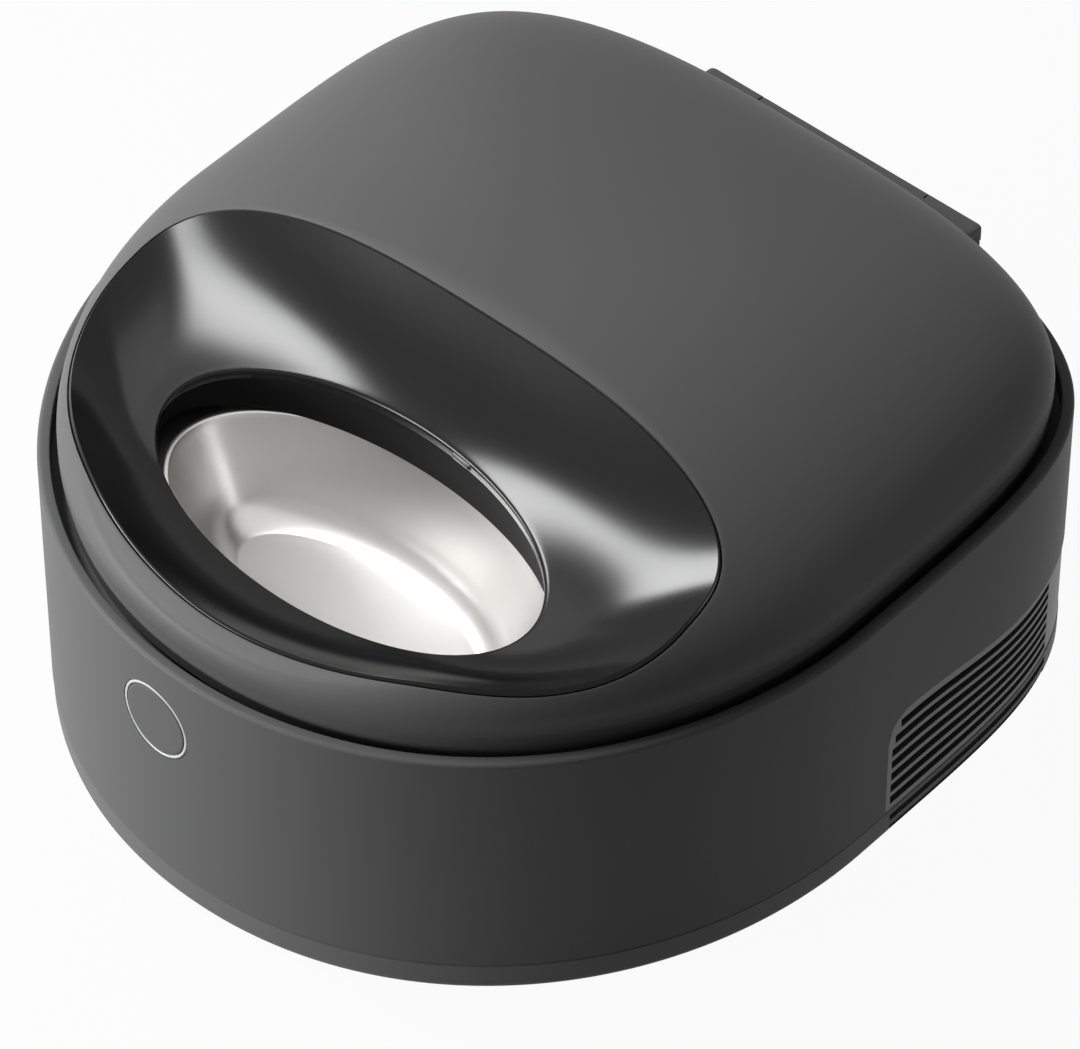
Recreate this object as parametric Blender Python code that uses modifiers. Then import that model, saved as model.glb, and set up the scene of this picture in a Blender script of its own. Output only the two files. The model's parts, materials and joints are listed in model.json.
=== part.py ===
"""Pet feeder with a domed lid, an oval feeding opening and a turning tray of bowls.

Lengths are in metres. The plan is laid out about a centre that the body outline is drawn from,
and everything hangs on one empty there, so that the whole part stands on the origin.
"""
import bmesh
import bpy
import math
from mathutils import Matrix, Vector

MM = 0.001
CLEAR = 0.3 * MM
TINY = 0.001 * MM
WELD = 0.01 * MM
OVERRUN = 2 * MM

# Body outline, seen from above: two superellipse halves that meet on the widest line
HALF_WIDTH = 157 * MM
FRONT_DEPTH = 167 * MM
REAR_DEPTH = 165 * MM
FRONT_POWER = 2.0
FRONT_SIDE_POWER = 2.06
REAR_POWER = 4.7
REAR_SIDE_POWER = 3.0
OUTLINE_STEPS = 28
FINE_STEPS = 1200

# Heights above the floor
FOOT_PROUD = 1.5 * MM
SEAM_HEIGHT = 14 * MM
RIM_HEIGHT = 113.5 * MM
DECK_DROP = 9 * MM

# Body shell and base pan
SHELL_WALL = 2.6 * MM
RIM_BAND = 4.4 * MM
RIM_FILLET = 1.6 * MM
GROOVE = 2.8 * MM
DECK_THICKNESS = 2.4 * MM
PAN_FLOOR = 2.5 * MM
PAN_WALL = 2.4 * MM
PAN_INSET = 0.3 * MM
PAN_FILLET = 4 * MM
FOOT_RADIUS = 9 * MM
FOOT_SINK = 1.0 * MM
FOOT_INSET = 34 * MM

# Lid
LID_WALL = 2.4 * MM
SKIRT_INSET = 1.0 * MM
SKIRT_WALL = 1.8 * MM
SKIRT_DROP = 10 * MM
LID_LIFT = 5 * MM
LID_EDGE = 5.4 * MM
DOME_RISE = 47 * MM
DOME_POWER = 2.6
DOME_ROUND = 1.75
REAR_FULLNESS = 0.6
SLOPE_HEIGHT = 130 * MM
SLOPE_FROM = 153 * MM
SLOPE = 0.325
CREASE = 1.5 * MM
LID_RING_SHARES = (0.994, 0.975, 0.94, 0.88, 0.79, 0.65, 0.45, 0.15)
LID_INNER_SHARES = (1.0, 0.96, 0.85, 0.62, 0.2)

# Funnel bezel and feeding opening
FUNNEL_HALF_WIDTH = 127 * MM
FUNNEL_FRONT_DEPTH = 90.5 * MM
FUNNEL_REAR_DEPTH = 45 * MM
FUNNEL_FORWARD = 61 * MM
FUNNEL_FRONT_POWER = 1.9
FUNNEL_REAR_POWER = 3.4
FUNNEL_DISH = 2.5 * MM
FUNNEL_DISH_SHARES = (0.0, 0.45, 1.0)
BEZEL_WALL = 1.8 * MM
BEZEL_EDGE = 5.0 * MM
OPENING_HALF_WIDTH = 80.7 * MM
OPENING_HALF_DEPTH = 37.1 * MM
OPENING_HEIGHT = 128.7 * MM
OPENING_SLOPE = 0.27
OPENING_BACK = -3 * MM
OPENING_LIP = 3.8 * MM
COLLAR_RISE = 0.2 * MM

# Carousel: tray, bowls, tub
CAROUSEL_BACK = 10 * MM
BOWL_ORBIT = 91 * MM
BOWL_HALF_LENGTH = 77 * MM
BOWL_HALF_BREADTH = 42 * MM
BOWL_FLANGE = 1.6 * MM
BOWL_DEPTH = 37 * MM
BOWL_WALL = 0.9 * MM
BOWL_FLOOR_SHARES = (0.74, 0.64)
BOWL_ROUND = 12 * MM
TRAY_RADIUS = 136.2 * MM
TRAY_THICKNESS = 2 * MM
TRAY_DROP = 0.6 * MM
TRAY_SKIRT = 6 * MM
TRAY_DISH_RADIUS = 40 * MM
TRAY_DISH_DEPTH = 15 * MM
HUB_RADIUS = 11 * MM
TUB_RADIUS = 138.5 * MM
TUB_WALL = 2 * MM
TUB_RIM_DROP = 0.7 * MM
ROUND_STEPS = 48
OVAL_STEPS = 36
TUB_FLOOR_HEIGHT = 66 * MM
FOAM_WALL = 4.4 * MM
FOAM_FLOOR = 7.7 * MM
GASKET_HEIGHT = 1.5 * MM
LINER_RADIUS = 142.5 * MM
LINER_WALL = 1.3 * MM
GRIP_LENGTH = 62 * MM
GRIP_WIDTH = 13 * MM
GRIP_DEPTH = 6 * MM

# Turning gear below the tub
CHASSIS_THICKNESS = 3.2 * MM
CHASSIS_RADIUS = 143 * MM
SPINDLE_RADIUS = 6 * MM
RUNNING_GAP = 0.1 * MM
BUSH_WALL = 3.6 * MM
BUSH_FLANGE = 8 * MM
GEAR_MODULE = 1.5 * MM
GEAR_TEETH = 36
PINION_TEETH = 12
GEAR_THICKNESS = 7 * MM
MESH_PLAY = 0.25 * MM
TIP_SHARE = 0.85
ROOT_SHARE = 1.2
MOTOR_RADIUS = 12.5 * MM
MOTOR_HEIGHT = 22 * MM
GEARBOX_RADIUS = 16 * MM
GEARBOX_HEIGHT = 11 * MM
MOTOR_SHAFT_RADIUS = 2.5 * MM
BRACKET_THICKNESS = 2.5 * MM
BRACKET_WIDTH = 66 * MM
BRACKET_DEPTH = 76 * MM
STANDOFF_RADIUS = 3.6 * MM
STANDOFF_INSET = 1 * MM
BRACKET_LEFT = 6 * MM
BUSH_FLANGE_THICKNESS = 2 * MM
GEAR_GAP = 1.2 * MM
BRACKET_GAP = 1.5 * MM

# Cooling
SINK_RIGHT = 78 * MM
SINK_BACK = 60 * MM
SINK_WIDTH = 60 * MM
SINK_BASE = 3.6 * MM
FIN_HEIGHT = 26 * MM
FIN_COUNT = 10
FIN_THICKNESS = 1.6 * MM
TILE_WIDTH = 40 * MM
TILE_THICKNESS = 3.7 * MM
PLATE_WIDTH = 50 * MM
PLATE_THICKNESS = 4 * MM
FAN_WIDTH = 40 * MM
FAN_THICKNESS = 10 * MM
FAN_BORE = 18.6 * MM
FAN_HUB = 9 * MM
FAN_BLADES = 7
FAN_BLADE_TIP_GAP = 0.9 * MM
FAN_STRUT = 2.2 * MM
FAN_BACK = 72 * MM
FAN_CENTRE_HEIGHT = 34 * MM
FAN_WALL_GAP = 5 * MM

# Hinge
HINGE_HALF_WIDTH = 62 * MM
KNUCKLE_HALF_WIDTH = 38 * MM
KNUCKLE_RADIUS = 5.8 * MM
BARREL_RADIUS = 6.6 * MM
TAIL_WALL = 1.6 * MM
TAIL_RISE = 1.5 * MM
TAIL_WAIST_SHARE = 0.4
TAIL_TOP = 9.0 * MM
TAIL_CORNER = 1.5 * MM
TAIL_LIP_ANGLE = 24
HINGE_BACK = 1.7 * MM
HINGE_DROP = 6.3 * MM
POCKET_DEPTH = 7.7 * MM
POCKET_FLOOR = 4 * MM
POCKET_REACH = 0.3 * MM
PIN_RADIUS = 2 * MM

# Front button
BUTTON_LEFT = 12 * MM
BUTTON_HEIGHT = 84.3 * MM
RING_RADIUS = 15.2 * MM
RING_WALL = 1.5 * MM
BUTTON_THICKNESS = 2.6 * MM
BUTTON_CURVE_DEPTH = 1 * MM
BUTTON_TRAVEL = 1.0 * MM
RING_DEPTH = 13 * MM
STEM_RADIUS = 2.6 * MM
SWITCH_WIDTH = 6 * MM
SWITCH_DEPTH = 3.6 * MM
PLUNGER_DEPTH = 1.6 * MM
PLUNGER_RADIUS = 1.7 * MM
BOARD_THICKNESS = 1.6 * MM
BUTTON_BOARD_WIDTH = 46 * MM
BUTTON_BOARD_HEIGHT = 32 * MM

# Grille in the right wall
GRILLE_START = 12 * MM
GRILLE_LENGTH = 136 * MM
GRILLE_TOP = 60 * MM
GRILLE_FALL = 8 * MM
GRILLE_FALL_START = 12 * MM
GRILLE_FALL_LENGTH = 70 * MM
GRILLE_CORNER = 11 * MM
GRILLE_MARGIN = 2.6 * MM
GRILLE_END_MARGIN = 40 * MM
GRILLE_DEPTH = 3.4 * MM
GRILLE_SET_BACK = 0.5 * MM
SLOT_HEIGHT = 3.8 * MM
SLOT_PITCH = 5.9 * MM
SLOT_COUNT = 7
SLOT_START_SHARES = (0.0, 0.0, 0.0, 0.0, 0.0, 0.01, 0.03)
PAN_SLOT_LOWS = (3.2 * MM, 8.6 * MM)
PAN_SLOT_HEIGHT = 3.2 * MM
PAN_SLOT_DEPTH = 1.4 * MM
BAND_STEPS = 10

# Boards, inlet, sensor, screws
MAIN_BOARD_WIDTH = 84 * MM
MAIN_BOARD_DEPTH = 52 * MM
MAIN_BOARD_FORWARD = 88 * MM
MAIN_BOARD_RIGHT = 12 * MM
BOARD_POST_RADIUS = 3.2 * MM
BOARD_POST_HEIGHT = 9 * MM
CHIP_HEIGHT = 2.2 * MM
CHIP_SHARES = ((-0.45, 0.1, 0.18, 0.3, 1.0), (0.1, 0.35, 0.14, 0.2, 0.8),
               (0.55, -0.1, 0.12, 0.5, 3.5), (0.15, -0.5, 0.2, 0.18, 2.6))
INLET_LEFT = 36 * MM
INLET_HEIGHT = 32 * MM
INLET_RADIUS = 7 * MM
INLET_FLANGE = 1.6 * MM
INLET_LENGTH = 15 * MM
INLET_BORE = 3.2 * MM
INLET_PIN = 1.0 * MM
INLET_FLOOR = 3 * MM
SENSOR_WIDTH = 9 * MM
SENSOR_HEIGHT = 2.6 * MM
SENSOR_DEPTH = 1.2 * MM
SENSOR_SET_BACK = 0.2 * MM
SENSOR_BOARD_BACK = 4.5 * MM
SENSOR_ANGLE = math.radians(77)
SENSOR_BOARD_WIDTH = 18 * MM
SENSOR_BOARD_DEPTH = 12 * MM
SCREW_RADIUS = 1.6 * MM
SCREW_HEAD_RADIUS = 3.4 * MM
SCREW_HEAD_HEIGHT = 2.0 * MM
LINER_SCREW_HEAD = 0.9 * MM
BOSS_RADIUS = 5 * MM
BOSS_INSET = 7 * MM
BOSS_LENGTH_SHARES = (0.22, 0.88)
CORNERS = ("front_right", "front_left", "rear_right", "rear_left")
SHELL_BOSS_HEIGHT = 18 * MM
POST_RADIUS = 5.5 * MM
POST_PLACES_SHARES = ((0.64, -0.39), (-0.64, -0.39), (0.55, 0.60), (-0.60, 0.60))
LID_BOSS_RADIUS = 4.2 * MM
LID_BOSS_SHARES = ((0.68, 0.12), (-0.68, 0.12), (0.46, 0.60), (-0.46, 0.60))

# Places that follow from the sizes above
HINGE_Y = REAR_DEPTH + HINGE_BACK
HINGE_Z = RIM_HEIGHT - HINGE_DROP
TAIL_RADIUS = KNUCKLE_RADIUS + CLEAR + TAIL_WALL
HINGE_REACH = HINGE_Y + TAIL_RADIUS * math.cos(math.radians(30))
CENTRE_Y = (FRONT_DEPTH - HINGE_REACH) / 2
DECK_HEIGHT = RIM_HEIGHT - DECK_DROP
LID_INSET = RIM_BAND + GROOVE
LID_BOTTOM = RIM_HEIGHT + LID_LIFT
LID_SHOULDER = LID_BOTTOM + LID_EDGE
PAN_BOTTOM = FOOT_PROUD
PAN_TOP_FACE = PAN_BOTTOM + PAN_FLOOR
TUB_RIM = RIM_HEIGHT - TUB_RIM_DROP
TUB_OUTER = TUB_RADIUS + TUB_WALL
GASKET_BASE = TUB_RIM + CLEAR
LINER_HEIGHT = GASKET_BASE + GASKET_HEIGHT + CLEAR
TRAY_TOP = TUB_RIM - TRAY_DROP
FOAM_BOTTOM = TUB_FLOOR_HEIGHT - CLEAR - FOAM_FLOOR
CHASSIS_TOP = FOAM_BOTTOM - CLEAR
CHASSIS_BOTTOM = CHASSIS_TOP - CHASSIS_THICKNESS
BUSH_OUTER = SPINDLE_RADIUS + RUNNING_GAP + BUSH_WALL
BUSH_TOP = TUB_FLOOR_HEIGHT + TUB_WALL + CLEAR + BUSH_FLANGE_THICKNESS
GEAR_TOP = CHASSIS_BOTTOM - GEAR_GAP
GEAR_BOTTOM = GEAR_TOP - GEAR_THICKNESS
PINION_REACH = GEAR_MODULE * (GEAR_TEETH + PINION_TEETH) / 2 + MESH_PLAY
BRACKET_TOP = GEAR_BOTTOM - BRACKET_GAP
BRACKET_BOTTOM = BRACKET_TOP - BRACKET_THICKNESS
OPENING_FORWARD = BOWL_ORBIT - CAROUSEL_BACK - OPENING_BACK
POCKET_FRONT = LID_INSET - POCKET_REACH
POCKET_Z = HINGE_Z - POCKET_DEPTH
BUTTON_BOARD_Y = -FRONT_DEPTH + RING_DEPTH + CLEAR


def clear_scene():
    """Remove whatever the file holds."""
    for thing in list(bpy.data.objects):
        bpy.data.objects.remove(thing, do_unlink=True)


def make_collection(name):
    group = bpy.data.collections.new(name)
    bpy.context.scene.collection.children.link(group)
    return group


clear_scene()
PARTS = make_collection("pet_feeder")
CUTTERS = make_collection("cutters")
CENTRE = bpy.data.objects.new("plan_centre", None)
CENTRE.location = (0, CENTRE_Y, 0)
PARTS.objects.link(CENTRE)


def paint(name, colour, roughness, metallic=0.0):
    """A Principled material."""
    material = bpy.data.materials.new(name)
    material.use_nodes = True
    shader = material.node_tree.nodes["Principled BSDF"]
    shader.inputs["Base Color"].default_value = (*colour, 1.0)
    shader.inputs["Roughness"].default_value = roughness
    shader.inputs["Metallic"].default_value = metallic
    return material


PAINTS = {
    "charcoal_shell": ((0.060, 0.060, 0.062), 0.50, 0.0),
    "charcoal_lid": ((0.050, 0.050, 0.052), 0.42, 0.0),
    "satin_black": ((0.022, 0.022, 0.023), 0.22, 0.0),
    "dark_pan": ((0.075, 0.075, 0.078), 0.55, 0.0),
    "black_plastic": ((0.020, 0.020, 0.021), 0.50, 0.0),
    "inner_plastic": ((0.120, 0.120, 0.125), 0.55, 0.0),
    "light_guide": ((0.820, 0.860, 0.820), 0.35, 0.0),
    "stainless": ((0.760, 0.750, 0.740), 0.28, 1.0),
    "steel": ((0.560, 0.560, 0.570), 0.32, 1.0),
    "aluminium": ((0.700, 0.710, 0.720), 0.35, 1.0),
    "ceramic": ((0.860, 0.850, 0.820), 0.60, 0.0),
    "rubber": ((0.030, 0.030, 0.030), 0.85, 0.0),
    "foam": ((0.740, 0.740, 0.720), 0.90, 0.0),
    "board_green": ((0.020, 0.120, 0.060), 0.45, 0.0),
    "acetal": ((0.780, 0.770, 0.730), 0.45, 0.0),
    "bronze": ((0.560, 0.380, 0.190), 0.40, 1.0),
}


def place(thing, material, spot=(0, 0, 0)):
    """Hang a piece on the plan centre and give it its own copy of a paint."""
    PARTS.objects.link(thing)
    thing.parent = CENTRE
    thing.location = spot
    thing.data.materials.clear()
    thing.data.materials.append(paint(f"{thing.name}_{material}", *PAINTS[material]))
    return thing


def shape_object(name, shape, smooth=40):
    """Turn a bmesh into an object with outward faces."""
    bmesh.ops.recalc_face_normals(shape, faces=shape.faces)
    mesh = bpy.data.meshes.new(name)
    shape.to_mesh(mesh)
    shape.free()
    mesh.shade_smooth()
    mesh.set_sharp_from_angle(angle=math.radians(smooth))
    return bpy.data.objects.new(name, mesh)


def loft(name, loops, closed=False):
    """Skin loops of equal length; an open run is capped at both ends, a closed run is a ring."""
    shape = bmesh.new()
    rows = [[shape.verts.new(point) for point in loop] for loop in loops]
    pairs = list(zip(rows, rows[1:]))
    if closed:
        pairs.append((rows[-1], rows[0]))
    for low, high in pairs:
        for k in range(len(low)):
            j = (k + 1) % len(low)
            shape.faces.new((low[k], low[j], high[j], high[k]))
    if not closed:
        shape.faces.new(rows[0][::-1])
        shape.faces.new(rows[-1])
    return shape_object(name, shape)


def box(name, low, high):
    """A block between two corners."""
    shape = bmesh.new()
    low, high = Vector(low), Vector(high)
    size = high - low
    frame = Matrix.Translation((low + high) / 2) @ Matrix.Diagonal((*size, 1.0))
    bmesh.ops.create_cube(shape, size=1.0, matrix=frame)
    return shape_object(name, shape)


def rod(name, start, end, radius, steps=20, tip_radius=None):
    """A round bar between two points."""
    shape = bmesh.new()
    start, end = Vector(start), Vector(end)
    along = end - start
    turn = along.to_track_quat("Z", "Y").to_matrix().to_4x4()
    bmesh.ops.create_cone(shape, cap_ends=True, segments=steps, radius1=radius,
                          radius2=radius if tip_radius is None else tip_radius,
                          depth=along.length, matrix=Matrix.Translation((start + end) / 2) @ turn)
    return shape_object(name, shape)


def settled(thing, name=None):
    """Apply an object's modifiers and return the finished piece."""
    holder = not thing.users_collection
    if holder:
        CUTTERS.objects.link(thing)
    bpy.context.view_layer.update()
    graph = bpy.context.evaluated_depsgraph_get()
    mesh = bpy.data.meshes.new_from_object(thing.evaluated_get(graph))
    shape = bmesh.new()
    shape.from_mesh(mesh)
    bmesh.ops.remove_doubles(shape, verts=shape.verts, dist=TINY)
    made = shape_object(name or thing.name + "_made", shape)
    made.matrix_world = thing.matrix_world.copy()
    bpy.data.objects.remove(thing)
    made.name = name or made.name
    return made


def turned(name, profile, steps=64):
    """Turn a closed profile of (radius, height) points about Z with a Screw modifier."""
    mesh = bpy.data.meshes.new(name)
    verts = [(radius, 0, height) for radius, height in profile]
    edges = [(k, (k + 1) % len(verts)) for k in range(len(verts))]
    edges = [(a, b) for a, b in edges if profile[a][0] > 0 or profile[b][0] > 0]
    mesh.from_pydata(verts, edges, [])
    thing = bpy.data.objects.new(name, mesh)
    screw = thing.modifiers.new("turn", "SCREW")
    screw.axis = "Z"
    screw.steps = steps
    screw.render_steps = steps
    screw.use_merge_vertices = True
    screw.merge_threshold = WELD
    return settled(thing, name)


def combine(thing, others, operation):
    """Join or cut a piece with others by an exact Boolean and keep the result."""
    name = thing.name
    for other in others:
        if not thing.users_collection:
            CUTTERS.objects.link(thing)
        if not other.users_collection:
            CUTTERS.objects.link(other)
        other.hide_render = True
        other.display_type = "WIRE"
        cut = thing.modifiers.new("cut", "BOOLEAN")
        cut.operation = operation
        cut.solver = "EXACT"
        cut.object = other
    bpy.context.view_layer.update()
    graph = bpy.context.evaluated_depsgraph_get()
    mesh = bpy.data.meshes.new_from_object(thing.evaluated_get(graph))
    matrix = thing.matrix_world.copy()
    bpy.data.objects.remove(thing)
    for other in others:
        bpy.data.objects.remove(other)
    shape = bmesh.new()
    shape.from_mesh(mesh)
    bmesh.ops.remove_doubles(shape, verts=shape.verts, dist=TINY)
    bmesh.ops.dissolve_degenerate(shape, edges=shape.edges, dist=TINY)
    made = shape_object(name, shape)
    made.matrix_world = matrix
    made.name = name
    return made


def cut(thing, others):
    return combine(thing, others, "DIFFERENCE")


def join(thing, others):
    return combine(thing, others, "UNION")


def fine_outline():
    """Dense points of the right half of the body outline, front to rear, with inward normals."""
    points = []
    for k in range(FINE_STEPS + 1):
        turn = -math.pi / 2 + math.pi * k / FINE_STEPS
        power = FRONT_POWER if turn < 0 else REAR_POWER
        side_power = FRONT_SIDE_POWER if turn < 0 else REAR_SIDE_POWER
        depth = FRONT_DEPTH if turn < 0 else REAR_DEPTH
        x = HALF_WIDTH * max(math.cos(turn), 0) ** (2 / side_power)
        y = depth * math.copysign(abs(math.sin(turn)) ** (2 / power), turn)
        points.append(Vector((x, y)))
    points[0].x = points[-1].x = 0
    rows = []
    length = 0
    for k, point in enumerate(points):
        before, after = points[max(k - 1, 0)], points[min(k + 1, FINE_STEPS)]
        along = (after - before).normalized()
        length += (point - points[max(k - 1, 0)]).length
        rows.append((length, point, Vector((-along.y, along.x))))
    return rows


FINE = fine_outline()


def outline_at(length, inset=0):
    """The right-hand outline at a length from its front point, moved inward by an inset."""
    low, high = 0, len(FINE) - 1
    length = min(max(length, 0), FINE[-1][0])
    while high - low > 1:
        middle = (low + high) // 2
        if FINE[middle][0] <= length:
            low = middle
        else:
            high = middle
    start, end = FINE[low], FINE[high]
    share = (length - start[0]) / max(end[0] - start[0], TINY)
    point = start[1].lerp(end[1], share)
    inward = start[2].lerp(end[2], share).normalized()
    return point + inward * inset


def plan_points(inset=0):
    """The whole outline as points that match from one inset to another."""
    total = FINE[-1][0]
    right = [outline_at(total * k / OUTLINE_STEPS, inset) for k in range(OUTLINE_STEPS + 1)]
    right[0].x = right[-1].x = 0
    left = [Vector((-p.x, p.y)) for p in right[-2:0:-1]]
    return right + left


def plan_loop(inset, height, share=1.0):
    return [(p.x * share, p.y * share, height) for p in plan_points(inset)]


def circle_loop(radius, height, centre_y):
    """A circle whose points face the outline's own points."""
    loop = []
    for p in plan_points():
        away = Vector((p.x, p.y - centre_y)).normalized() * radius
        loop.append((away.x, centre_y + away.y, height))
    return loop


def oval_point(half_width, half_depth, turn, power=2.0):
    across, along = math.cos(turn), math.sin(turn)
    return (half_width * math.copysign(abs(across) ** (2 / power), across),
            half_depth * math.copysign(abs(along) ** (2 / power), along))


def oval_loop(half_width, half_depth, height, centre=(0, 0), steps=OVAL_STEPS, power=2.0):
    """An oval; its height is a value or a function of the place."""
    loop = []
    for k in range(steps):
        x, y = oval_point(half_width, half_depth, 2 * math.pi * k / steps, power)
        x, y = x + centre[0], y + centre[1]
        loop.append((x, y, height(x, y) if callable(height) else height))
    return loop


LID_OUTLINE = plan_points(LID_INSET)


def share_from_edge(x, y):
    """How far a place lies inside the lid's edge, from 0 at the edge to 1 at the middle."""
    ray = Vector((x, y))
    if ray.length < TINY:
        return 1.0
    for k, start in enumerate(LID_OUTLINE):
        end = LID_OUTLINE[(k + 1) % len(LID_OUTLINE)]
        side = end - start
        cross = ray.x * side.y - ray.y * side.x
        if abs(cross) < TINY ** 2:
            continue
        reach = (start.x * side.y - start.y * side.x) / cross
        along = (start.x * ray.y - start.y * ray.x) / cross
        if reach > 0 and 0 <= along <= 1:
            return max(0.0, 1 - 1 / reach)
    return 0.0


def lid_height(x, y, inside=None):
    """The lid's top face: a dome that a forward slope shaves off, with a soft crease."""
    inside = share_from_edge(x, y) if inside is None else inside
    power = DOME_POWER + REAR_FULLNESS * max(y, 0) / REAR_DEPTH
    rise = (1 - (1 - inside) ** power) ** (1 / DOME_ROUND)
    dome = LID_SHOULDER + DOME_RISE * rise
    slope = SLOPE_HEIGHT + SLOPE * (y + SLOPE_FROM)
    nearer = min(dome, slope)
    blend = math.exp(-(dome - nearer) / CREASE) + math.exp(-(slope - nearer) / CREASE)
    return nearer - CREASE * math.log(blend)


def wall_front(x, inset=0):
    """The y of the front wall at a place across it."""
    low, high = 0, FINE[-1][0] / 2
    for _ in range(40):
        middle = (low + high) / 2
        if outline_at(middle, inset).x < abs(x):
            low = middle
        else:
            high = middle
    return outline_at(low, inset).y


def band(name, start, length, inner, outer, low, high):
    """A band bent along the right wall; low and high are heights or functions of the length."""
    widest = next(row[0] for row in FINE if row[1].y >= 0)
    loops = []
    for k in range(BAND_STEPS + 1):
        along = length * k / BAND_STEPS
        a = outline_at(widest + start + along, inner)
        b = outline_at(widest + start + along, outer)
        bottom = low(along) if callable(low) else low
        top = high(along) if callable(high) else high
        loops.append([(a.x, a.y, bottom), (b.x, b.y, bottom), (b.x, b.y, top), (a.x, a.y, top)])
    return loft(name, loops)


def make_body_shell():
    """Outer wall, rim band, groove and deck in one moulding, with its bosses and holes."""
    deck_hole = TUB_OUTER + 3 * CLEAR
    under = DECK_HEIGHT - DECK_THICKNESS
    bottom = SEAM_HEIGHT + CLEAR
    loops = [plan_loop(0, bottom), plan_loop(0, RIM_HEIGHT - RIM_FILLET),
             plan_loop(RIM_FILLET / 3, RIM_HEIGHT - RIM_FILLET / 3),
             plan_loop(RIM_FILLET, RIM_HEIGHT), plan_loop(RIM_BAND, RIM_HEIGHT),
             plan_loop(RIM_BAND, DECK_HEIGHT),
             circle_loop(deck_hole, DECK_HEIGHT, CAROUSEL_BACK),
             circle_loop(deck_hole, under, CAROUSEL_BACK),
             plan_loop(SHELL_WALL, under), plan_loop(SHELL_WALL, bottom)]
    shell = loft("body_shell", loops, closed=True)
    pocket_front = REAR_DEPTH - POCKET_FRONT
    half = HINGE_HALF_WIDTH + 2 * CLEAR
    block = box("block", (-half - SHELL_WALL, pocket_front - SHELL_WALL / 2, POCKET_Z - POCKET_FLOOR),
                (half + SHELL_WALL, REAR_DEPTH - SHELL_WALL / 2, DECK_HEIGHT - DECK_THICKNESS / 2))
    adds = [block]
    for x, y in boss_places():
        adds.append(rod("boss", (x, y, bottom), (x, y, bottom + SHELL_BOSS_HEIGHT), BOSS_RADIUS, 12))
    for side in (-1, 1):
        x = -BUTTON_LEFT + side * (BUTTON_BOARD_WIDTH / 2 - BOARD_POST_RADIUS)
        start = wall_front(x, SHELL_WALL / 2)
        adds.append(rod("post", (x, start, BUTTON_HEIGHT),
                        (x, BUTTON_BOARD_Y - CLEAR, BUTTON_HEIGHT), BOARD_POST_RADIUS, 12))
    shell = join(shell, adds)
    cuts = [box("pocket", (-half, pocket_front, POCKET_Z),
                (half, REAR_DEPTH + OVERRUN, RIM_HEIGHT + OVERRUN))]
    for x, y in boss_places():
        cuts.append(rod("bore", (x, y, bottom - OVERRUN),
                        (x, y, bottom + SHELL_BOSS_HEIGHT - OVERRUN), SCREW_RADIUS + CLEAR, 10))
    cuts.append(rod("button_hole", (-BUTTON_LEFT, -FRONT_DEPTH - OVERRUN, BUTTON_HEIGHT),
                    (-BUTTON_LEFT, -FRONT_DEPTH + 2 * SHELL_WALL + OVERRUN, BUTTON_HEIGHT),
                    RING_RADIUS + CLEAR, 32))
    cuts.append(rod("inlet_hole", (-INLET_LEFT, REAR_DEPTH + OVERRUN, INLET_HEIGHT),
                    (-INLET_LEFT, REAR_DEPTH - 2 * SHELL_WALL - OVERRUN, INLET_HEIGHT),
                    INLET_RADIUS + CLEAR, 24))
    cuts.append(band("window", GRILLE_START - CLEAR, GRILLE_LENGTH + 2 * CLEAR, -OVERRUN,
                     SHELL_WALL + OVERRUN, SEAM_HEIGHT - OVERRUN, lambda s: grille_top(s) + CLEAR))
    return place(cut(shell, cuts), "charcoal_shell")


def fallen(height, along):
    """A height in the grille, lowered towards the rear as the whole grille narrows."""
    share = min(max((along - GRILLE_FALL_START) / GRILLE_FALL_LENGTH, 0), 1)
    fall = GRILLE_FALL * share * share * (3 - 2 * share)
    return height - fall * (height - SEAM_HEIGHT) / (GRILLE_TOP - SEAM_HEIGHT)


def grille_top(along):
    """The grille's upper edge, rounded at both ends."""
    end = min(along, GRILLE_LENGTH - along)
    if end >= GRILLE_CORNER:
        return fallen(GRILLE_TOP, along)
    fall = GRILLE_CORNER - math.sqrt(max(GRILLE_CORNER ** 2 - (GRILLE_CORNER - max(end, 0)) ** 2, 0))
    return fallen(GRILLE_TOP - fall, along)


def boss_places():
    """Where the pan is screwed to the shell, near the four corners."""
    total = FINE[-1][0]
    places = []
    for share in BOSS_LENGTH_SHARES:
        spot = outline_at(total * share, BOSS_INSET)
        places += [(spot.x, spot.y), (-spot.x, spot.y)]
    return places


def post_places():
    return [(x * HALF_WIDTH, y * FRONT_DEPTH) for x, y in POST_PLACES_SHARES]


def foot_places():
    total = FINE[-1][0]
    places = []
    for share in BOSS_LENGTH_SHARES:
        spot = outline_at(total * share, FOOT_INSET)
        places += [(spot.x, spot.y), (-spot.x, spot.y)]
    return places


def board_posts():
    half_w, half_d = MAIN_BOARD_WIDTH / 2 - BOARD_POST_RADIUS, MAIN_BOARD_DEPTH / 2 - BOARD_POST_RADIUS
    return [(MAIN_BOARD_RIGHT + sx * half_w, -MAIN_BOARD_FORWARD + sy * half_d)
            for sx in (-1, 1) for sy in (-1, 1)]


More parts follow.
